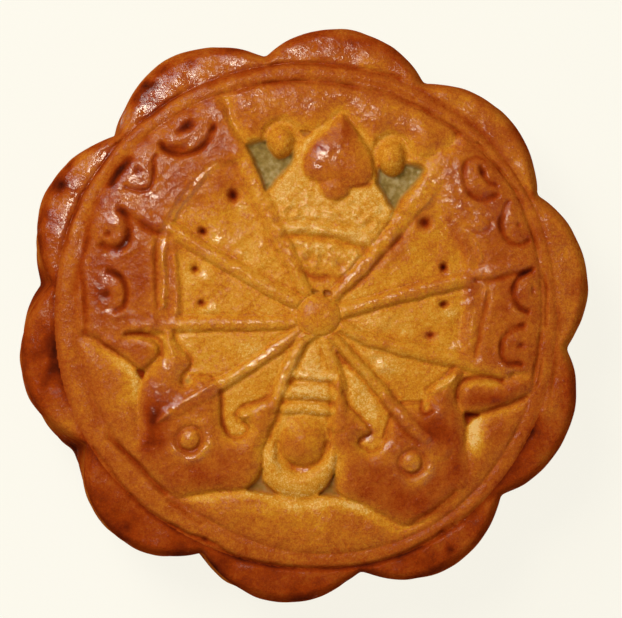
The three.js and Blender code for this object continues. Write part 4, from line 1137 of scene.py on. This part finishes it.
# Lines where it meets the lobes and the face, and its own folds: points, half width, depth.
RING_LINES = [
    ([(-4.6, 33.9), (-3.0, 34.2), (0.0, 34.2), (3.0, 34.1), (6.0, 33.6), (8.0, 33.3), (10.0, 32.8),
      (13.0, 32.0)], 0.36, 0.24),
    ([(-12.8, 31.3), (-11.2, 31.9), (-10.0, 32.4), (-8.2, 32.8), (-6.0, 33.3)], 0.50, 0.26),
    ([(-11.6, 30.0), (-9.8, 30.2), (-8.0, 30.6), (-6.0, 31.2), (-4.0, 31.5), (-1.0, 31.7), (2.0, 31.5),
      (4.0, 31.4), (5.6, 31.1), (8.0, 30.6), (9.0, 30.3), (10.4, 30.1), (12.0, 29.6), (13.6, 29.0),
      (15.5, 28.2), (17.0, 27.5), (18.4, 26.6), (20.2, 25.5)], 0.30, 0.20),
    ([(7.0, 31.9), (9.0, 31.4), (11.0, 30.8), (13.0, 30.2), (15.0, 29.2)], 0.30, 0.14),
    ([(20.4, 25.3), (21.0, 24.6)], 0.40, 0.28),
    ([(23.6, 23.3), (24.2, 22.4), (24.8, 21.6), (25.6, 20.8), (26.4, 20.0), (27.0, 19.2), (27.8, 18.3),
      (28.4, 17.4), (29.0, 16.7)], 0.24, 0.34),
    ([(18.0, 29.0), (20.0, 27.9), (22.0, 26.6), (24.0, 25.0), (25.6, 23.3), (27.0, 21.3), (28.6, 19.5),
      (29.8, 17.7), (31.2, 16.0)], 0.55, 0.16),
    ([(32.6, 5.4), (33.0, 3.4), (33.0, 1.0), (33.0, -1.6)], 0.30, 0.24),
    ([(30.0, 13.6), (31.0, 11.4), (31.9, 9.0)], 0.30, 0.16),
    ([(32.2, -2.6), (31.9, -4.4), (31.6, -6.2), (31.3, -7.4), (31.0, -8.8)], 0.34, 0.20),
    ([(32.3, -6.4), (32.1, -7.6), (31.9, -8.8), (31.6, -9.8)], 0.22, 0.16),
    ([(34.9, 0.4), (34.8, -2.0), (34.6, -4.4), (34.1, -7.4), (33.8, -10.0), (33.2, -12.4)], 0.50, 0.14),
    ([(31.8, -14.6), (30.9, -17.0), (29.8, -19.2), (28.8, -21.0), (27.4, -22.8), (25.6, -24.8),
      (23.4, -26.6), (21.0, -28.4), (19.0, -29.8), (17.4, -30.8), (15.0, -32.0)], 0.60, 0.16),
    ([(19.0, -29.8), (17.4, -30.8), (15.0, -32.0), (12.6, -33.0), (10.0, -33.9), (8.0, -34.3), (5.0, -34.7),
      (2.0, -34.7), (-1.0, -34.5), (-4.0, -34.2), (-6.5, -33.9), (-9.0, -33.3), (-10.6, -32.5),
      (-11.8, -31.6), (-13.4, -30.8)], 0.42, 0.34),
    ([(-13.4, -30.8), (-15.4, -30.2), (-17.2, -29.3), (-19.4, -28.1), (-21.0, -27.1), (-22.4, -26.0),
      (-23.6, -24.9)], 0.40, 0.44),
    ([(-23.6, -24.9), (-24.8, -23.6), (-26.0, -22.0), (-27.2, -20.2), (-28.6, -18.4)], 0.36, 0.26),
    ([(-26.6, -16.8), (-25.2, -18.0), (-23.8, -19.2), (-22.4, -20.6), (-21.2, -22.1), (-20.0, -23.5),
      (-18.9, -24.5)], 0.42, 0.40),
    ([(-18.6, -25.4), (-17.0, -26.4), (-15.6, -27.6), (-14.0, -28.6)], 0.34, 0.20),
    ([(20.6, -24.3), (19.2, -25.6), (17.8, -26.8), (16.4, -27.6), (15.0, -28.6)], 0.50, 0.26),
    ([(-22.6, 26.2), (-21.2, 27.0), (-19.8, 27.8), (-18.6, 29.0), (-17.0, 29.9)], 0.34, 0.30),
    ([(-25.4, 23.4), (-26.2, 22.4), (-27.0, 21.0), (-27.9, 19.6), (-28.8, 18.4), (-29.5, 17.3),
      (-30.3, 16.2), (-30.7, 14.8), (-31.2, 13.6), (-31.8, 12.0), (-32.2, 10.4), (-32.7, 8.6)], 0.34, 0.32),
]
# Wet facets on the lobes beside it: place, radii, turn.
LOBE_GLINTS = [
    ((-21.9, 27.8), (0.7, 0.9), -40), ((-27.4, 21.8), (0.5, 1.0), -40), ((-29.4, 18.8), (0.6, 1.3), -35),
    ((-31.2, 16.4), (0.4, 0.9), -30), ((-31.6, 15.6), (0.4, 1.0), -25), ((-19.4, 30.4), (1.2, 0.5), 35),
    ((-16.6, 32.2), (1.0, 0.4), 25), ((-9.4, 34.4), (0.9, 0.3), 8), ((-2.0, 35.8), (0.8, 0.3), 0),
    ((-24.4, 26.6), (0.5, 0.8), -40), ((4.6, 35.4), (1.2, 0.3), -10),
]


def finish_ring(face, radius, bearing):
    """Draws the ring round the worked face; the face ends in the crease where the lobes begin."""
    inner = round_the_cake(bearing, RING_INNER)
    outer = round_the_cake(bearing, RING_OUTER)
    drop = round_the_cake(bearing, RING_INNER_DROP) * face.waver
    fall = round_the_cake(bearing, RING_OUTER_DROP)
    half = (outer - inner) / 2
    u = (radius - (inner + outer) / 2) / half
    beyond = u > RING_PEAK
    t = np.where(beyond, (u - RING_PEAK) / (1 - RING_PEAK), (RING_PEAK - u) / (1 + RING_PEAK))
    t = np.clip(t, 0, 1)
    band = RING_CREST - np.where(beyond, fall * t**(2.0 + 2.5 * fall), drop * t**2)
    band += 0.04 * swell(face.x, face.y, 2.5, 11) * (1 - t**2)
    foot = RING_CREST - drop
    edge = shoulder((-1 - u) * half, RING_SLOPE)
    face.z = np.where(u < -1, foot + (face.z - foot) * edge, band)
    on_ring = ease(-2.2, -0.6, u)
    face.brown_and_painted_light += (round_the_cake(bearing, RING_BROWN) - face.brown_and_painted_light) * on_ring
    # Painted shade along the ring's inner line and in the crease outside it.
    face.brown_and_painted_light += 0.20 * drop * bell((u + 1) * half, 0.5)
    face.brown_and_painted_light += 0.14 * fall * bell((u - 0.96) * half, 0.5)
    face.paste *= 1 - on_ring


def score_ring(face):
    face.score(RING_LINES, width=0.8, depth=0.9, browning=0.30)
    for centre, radii, turn in LOBE_GLINTS:
        face.glint(centre, radii, turn)


# --- The cake as one piece -----------------------------------------------------------------------------
# Skin, filling and relief bake into a single piece. It starts as a ball of dough; pressing spreads the
# upper part of the ball over the moulded face, and the rest over the lobes, the wall and the base.
MM = 0.001
FACE_SHARE = 0.74       # shares of the ball's skin, from the top down: the face, the lobes, the wall
LOBE_SHARE = 0.86
WALL_SHARE = 0.97
CROWN = (1.4, 34)       # how much the middle has risen, and how far out that reaches
BALL_DIVISIONS = 8
MOST_FACES = 195000


def settled(face, x, y, z, from_crease, bearing, on_face):
    """The places after the oven: the sides came out uneven, and the cake leans a little."""
    side = np.where(on_face, 0, ease(0, 2, z))
    lift = 0.12 * swell(x, y, 4, 21) + 0.06 * swell(x, y, 1.5, 22)
    z = z + side * lift * ease(18, 26, z) * ease(0, 0.8, from_crease)
    round_wall = bearing * WALL_STEP
    bulge = 0.004 * swell(round_wall, z, 5, 23) + 0.0015 * swell(round_wall, z, 2, 24)
    spread = 1 + side * bulge * ease(29, 25, z)
    lean = ease(*LEAN_HEIGHTS, z)
    return np.column_stack([x * spread + LEAN[0] * lean, y * spread + LEAN[1] * lean, z])


def press_ball(ball):
    """Takes points of a unit ball to the cake's skin. Returns places and the baked marks there."""
    bearing = np.degrees(np.arctan2(ball[:, 0], ball[:, 1])) % 360
    skin = np.clip((1 - ball[:, 2]) / 2, 0, 1)
    on_face, on_wall = skin <= FACE_SHARE, skin > LOBE_SHARE
    over = np.clip((skin - FACE_SHARE) / (LOBE_SHARE - FACE_SHARE), 0, 1)
    down = np.clip((skin - LOBE_SHARE) / (WALL_SHARE - LOBE_SHARE), 0, 1)
    under = np.sqrt(np.clip((1 - skin) / (1 - WALL_SHARE), 0, 1))
    crease = round_the_cake(bearing, RING_OUTER)
    reach = soft_reach(bearing)
    start = RING_CREST - round_the_cake(bearing, RING_OUTER_DROP)
    radius, z = lobe_section(over, crease, reach, start, round_the_cake(bearing, LOBE_FALL))
    z = np.where(on_wall, z * (1 - down), z)
    radius = np.where(on_wall, wall_section(down, reach, bearing) * under, radius)
    radius = np.where(on_face, crease * np.sqrt(skin / FACE_SHARE), radius)
    x, y = radius * np.sin(np.radians(bearing)), radius * np.cos(np.radians(bearing))
    face = work_face(x, y)
    finish_ring(face, radius, bearing)
    crown = CROWN[0] * dome(radius / CROWN[1])
    face.z = np.where(on_face, PLAIN + crown + face.z, z)
    bake_sides(face, on_face, x, y, np.clip(reach - radius, 0, 9), radius - crease, bearing)
    face.upper = skin < LOBE_SHARE      # the lines round the ring stay off the wall
    score_ring(face)
    return settled(face, x, y, face.z, radius - crease, bearing, on_face), face


def cake_mesh():
    dough = bmesh.new()
    bmesh.ops.create_icosphere(dough, subdivisions=BALL_DIVISIONS, radius=1)
    mesh = bpy.data.meshes.new("crust")
    dough.to_mesh(mesh)
    dough.free()
    ball = np.empty(len(mesh.vertices) * 3)
    mesh.vertices.foreach_get("co", ball)
    ball = ball.reshape(-1, 3)
    ball /= np.linalg.norm(ball, axis=1)[:, None]
    places, face = press_ball(ball)
    middle = (places[:, :2].min(axis=0) + places[:, :2].max(axis=0)) / 2
    places[:, :2] -= middle
    mesh.vertices.foreach_set("co", (places * MM).ravel())
    # The browning mark carries the painted shade and painted highlight as well.
    for name, values in (("browning", face.brown_and_painted_light), ("paste", face.paste), ("gloss", face.gloss)):
        mark = mesh.attributes.new(name, "FLOAT", "POINT")
        mark.data.foreach_set("value", np.ascontiguousarray(values, np.float32))
    mesh.shade_smooth()
    mesh.update()
    return mesh, middle


def thin_out(source):
    """Leaves the same piece with its flat parts in fewer faces."""
    thin = source.modifiers.new("thin", "DECIMATE")
    thin.ratio = min(1, MOST_FACES / len(source.data.polygons))
    result = bpy.data.meshes.new_from_object(source.evaluated_get(bpy.context.evaluated_depsgraph_get()))
    source.modifiers.clear()
    source.data = result


mesh, middle = cake_mesh()
crust = bpy.data.objects.new("crust", mesh)
bpy.context.scene.collection.objects.link(crust)
thin_out(crust)


# The crust: flour, syrup and lard brushed with egg. It browns from straw through amber to mahogany;
# where it tore thin the grey-green bean paste shows.


class Flow:
    """A socket that takes part in sums; each sum adds a Math node."""

    def __init__(self, finish, socket):
        self.finish = finish
        self.socket = socket

    def sum(self, operation, other, swap=False):
        pair = (other, self) if swap else (self, other)
        return self.finish.node("ShaderNodeMath", {"operation": operation}, {0: pair[0], 1: pair[1]})

    def __add__(self, other):
        return self.sum("ADD", other)

    def __radd__(self, other):
        return self.sum("ADD", other, swap=True)

    def __sub__(self, other):
        return self.sum("SUBTRACT", other)

    def __rsub__(self, other):
        return self.sum("SUBTRACT", other, swap=True)

    def __mul__(self, other):
        return self.sum("MULTIPLY", other)


class Finish:
    """A material under construction."""

    def __init__(self, name):
        self.material = bpy.data.materials.new(name)
        self.material.use_nodes = True
        self.tree = self.material.node_tree
        self.tree.nodes.clear()

    def node(self, kind, settings=None, inputs=None, output=0):
        made = self.tree.nodes.new(kind)
        for key, value in (settings or {}).items():
            if key == "stops":
                self.set_stops(made.color_ramp, value)
            else:
                setattr(made, key, value)
        for key, value in (inputs or {}).items():
            if isinstance(value, Flow):
                self.tree.links.new(value.socket, made.inputs[key])
            else:
                made.inputs[key].default_value = value
        return Flow(self, made.outputs[output] if made.outputs else None)

    def set_stops(self, ramp, stops):
        while len(ramp.elements) > 1:
            ramp.elements.remove(ramp.elements[-1])
        for index, (position, colour) in enumerate(stops):
            stop = ramp.elements[0] if index == 0 else ramp.elements.new(position)
            stop.position = position
            stop.color = colour

    def mark(self, name):
        return self.node("ShaderNodeAttribute", {"attribute_name": name}, output=2)

    def place(self):
        return self.node("ShaderNodeTexCoord", output=3)

    def mix(self, factor, a, b):
        return self.node("ShaderNodeMix", {"data_type": "RGBA"}, {0: factor, 6: a, 7: b}, output=2)

    def surface(self, shader):
        self.node("ShaderNodeOutputMaterial", None, {"Surface": shader})
        return self.material


def srgb(red, green, blue):
    """A colour given as 0-255, as the shader's linear values."""
    linear = [((c / 255 + 0.055) / 1.055)**2.4 if c > 10 else c / 3295 for c in (red, green, blue)]
    return (*linear, 1.0)


CRUST_STOPS = [
    (0.00, srgb(211, 168, 98)), (0.14, srgb(200, 143, 52)), (0.30, srgb(191, 125, 29)),
    (0.46, srgb(176, 100, 27)), (0.60, srgb(158, 77, 21)), (0.74, srgb(139, 52, 10)),
    (0.87, srgb(107, 34, 8)), (1.00, srgb(60, 18, 8)),
]
PASTE_STOPS = [(0.34, srgb(84, 68, 32)), (0.50, srgb(126, 110, 62)), (0.68, srgb(166, 152, 108))]
# Sizes in mm of the blotches, lumps, grains, fine specks and pores of the crust.
BLOTCH, LUMP, GRAIN, FINE, PORE = 3.0, 1.1, 0.55, 0.19, 0.34
ROUGHNESS_DRY = 0.62
ROUGHNESS_WASHED = 0.20
BUMP = 0.16 * MM
# Light sinks a little way into the baked dough and comes out warmer.
THIN_SKIN = {"Subsurface Weight": 0.18, "Subsurface Radius": (1.0, 0.42, 0.14), "Subsurface Scale": 0.7 * MM}


def crust_finish():
    finish = Finish("crust")
    place = finish.place()

    def noise(size, detail):
        inputs = {"Vector": place, "Scale": 1 / (size * MM), "Detail": detail, "Roughness": 0.55}
        return finish.node("ShaderNodeTexNoise", None, inputs)

    blotch, lump, grain, fine = noise(BLOTCH, 5.0), noise(LUMP, 1.0), noise(GRAIN, 3.0), noise(FINE, 1.0)
    pores = finish.node("ShaderNodeTexVoronoi", None, {"Vector": place, "Scale": 1 / (PORE * MM)})
    mark, paste, wash = finish.mark("browning"), finish.mark("paste"), finish.mark("gloss")
    speckle = (grain - 0.5) * 0.60 + (fine - 0.5) * 0.60 + (pores - 0.45) * 0.16
    # The browning mark, painted shade and highlight included, picks the crust's colour.
    browning = mark + (blotch - 0.5) * 0.42 + speckle * (1.25 - mark * 1.3)
    crumb = grain * 0.30 + blotch * 0.34 + lump * 0.34 + fine * 0.08 - mark * 0.08
    baked = finish.node("ShaderNodeValToRGB", {"stops": CRUST_STOPS}, {0: browning})
    bean = finish.node("ShaderNodeValToRGB", {"stops": PASTE_STOPS}, {0: crumb})
    skin = {"Base Color": finish.mix(paste * 0.9, baked, bean), **THIN_SKIN}
    height = (lump * 0.50 + grain * 0.36 + fine * 0.20 - pores * 0.12) * (1.0 - wash * 0.18)
    bump = {"Strength": 1.0, "Distance": BUMP, "Height": height}
    skin["Normal"] = finish.node("ShaderNodeBump", None, bump)
    dry = {"Roughness": ROUGHNESS_DRY, "Specular IOR Level": 0.0, **skin}
    washed = {"Roughness": ROUGHNESS_WASHED + (grain - 0.5) * 0.18 - wash * 0.03, "IOR": 1.50, **skin}
    layers = [finish.node("ShaderNodeBsdfPrincipled", None, inputs) for inputs in (dry, washed)]
    patchy = blotch * 2.0 + lump * 2.6 + grain * 1.6 + fine * 2.4 - 3.6
    gloss = (wash - paste * 0.2) * patchy
    return finish.surface(finish.node("ShaderNodeMixShader", None, {0: gloss, 1: layers[0], 2: layers[1]}))


crust.data.materials.clear()
crust.data.materials.append(crust_finish())
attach(crust, "root")
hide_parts("mooncake")

# --- The table, the lights and the camera ----------------------------------------------------------------
# The cake lies alone on a cream surface. One large soft lamp stands above it towards the upper left, with a
# small one nearer the middle for the sheen and two weaker ones opposite; the camera looks straight down.
TABLE_HALF = 2.0
PANEL_CREAMS = [(0.065, 0.064, 0.060, 1), (0.058, 0.057, 0.053, 1)]
PANEL_GLOW = (srgb(255, 252, 240), 0.89)
CAMERA_HEIGHT = 0.480
AIM = (0.97, 0.69)      # where the camera looks, from the middle of the mould, in mm
SENSOR = 36.0
FRAME_WIDTH = 622
SCALE = 3305.8          # pixels for a slope of one
LAMPS = {               # place and size in metres, power in watts
    "key": {"place": (-0.21, 0.24, 0.40), "size": 0.32, "watts": 1.51},
    "sheen": {"place": (-0.09, 0.115, 0.47), "size": 0.11, "watts": 1.15, "colour": (1.0, 0.92, 0.72)},
    "fill right": {"place": (0.45, -0.34, 0.50), "size": 0.70, "watts": 0.6},
    "fill left": {"place": (-0.45, -0.40, 0.50), "size": 0.70, "watts": 0.5},
}
ROOM = 0.10


def panel_finish():
    """An evenly glowing cream panel, so that the shadow on it stays faint."""
    finish = Finish("panel")
    speck = finish.node("ShaderNodeTexNoise", None, {"Vector": finish.place(), "Scale": 40.0, "Detail": 2.0})
    return finish.surface(finish.node("ShaderNodeBsdfPrincipled", None, {
        "Base Color": finish.mix(speck * 0.05, *PANEL_CREAMS), "Roughness": 0.9,
        "Emission Color": PANEL_GLOW[0], "Emission Strength": PANEL_GLOW[1],
    }))


def soft_lamp(name, place, size, watts, colour=(1, 1, 1)):
    data = bpy.data.lights.new(name, "AREA")
    data.shape = "DISK"
    data.size = size
    data.energy = watts
    data.color = colour
    lamp = bpy.data.objects.new(name, data)
    lamp.location = place
    lamp.rotation_euler = (-Vector(place)).to_track_quat("-Z", "Y").to_euler()
    bpy.context.scene.collection.objects.link(lamp)


sheet = bmesh.new()
bmesh.ops.create_grid(sheet, x_segments=1, y_segments=1, size=TABLE_HALF)
floor_mesh = bpy.data.meshes.new("table")
sheet.to_mesh(floor_mesh)
sheet.free()
floor = bpy.data.objects.new("table", floor_mesh)
floor.data.materials.append(panel_finish())
bpy.context.scene.collection.objects.link(floor)

for name, lamp in LAMPS.items():
    soft_lamp(name, **lamp)
world = bpy.data.worlds.new("room")
world.use_nodes = True
world.node_tree.nodes["Background"].inputs["Color"].default_value = (1, 1, 1, 1)
world.node_tree.nodes["Background"].inputs["Strength"].default_value = ROOM
bpy.context.scene.world = world
bpy.context.scene.view_settings.view_transform = "Standard"

lens = bpy.data.cameras.new("camera")
lens.sensor_width = SENSOR
lens.lens = SCALE * SENSOR / FRAME_WIDTH
lens.clip_start = 0.01
camera = bpy.data.objects.new("camera", lens)
camera.location = ((AIM[0] - middle[0]) * MM, (AIM[1] - middle[1]) * MM, CAMERA_HEIGHT)
bpy.context.scene.collection.objects.link(camera)
bpy.context.scene.camera = camera
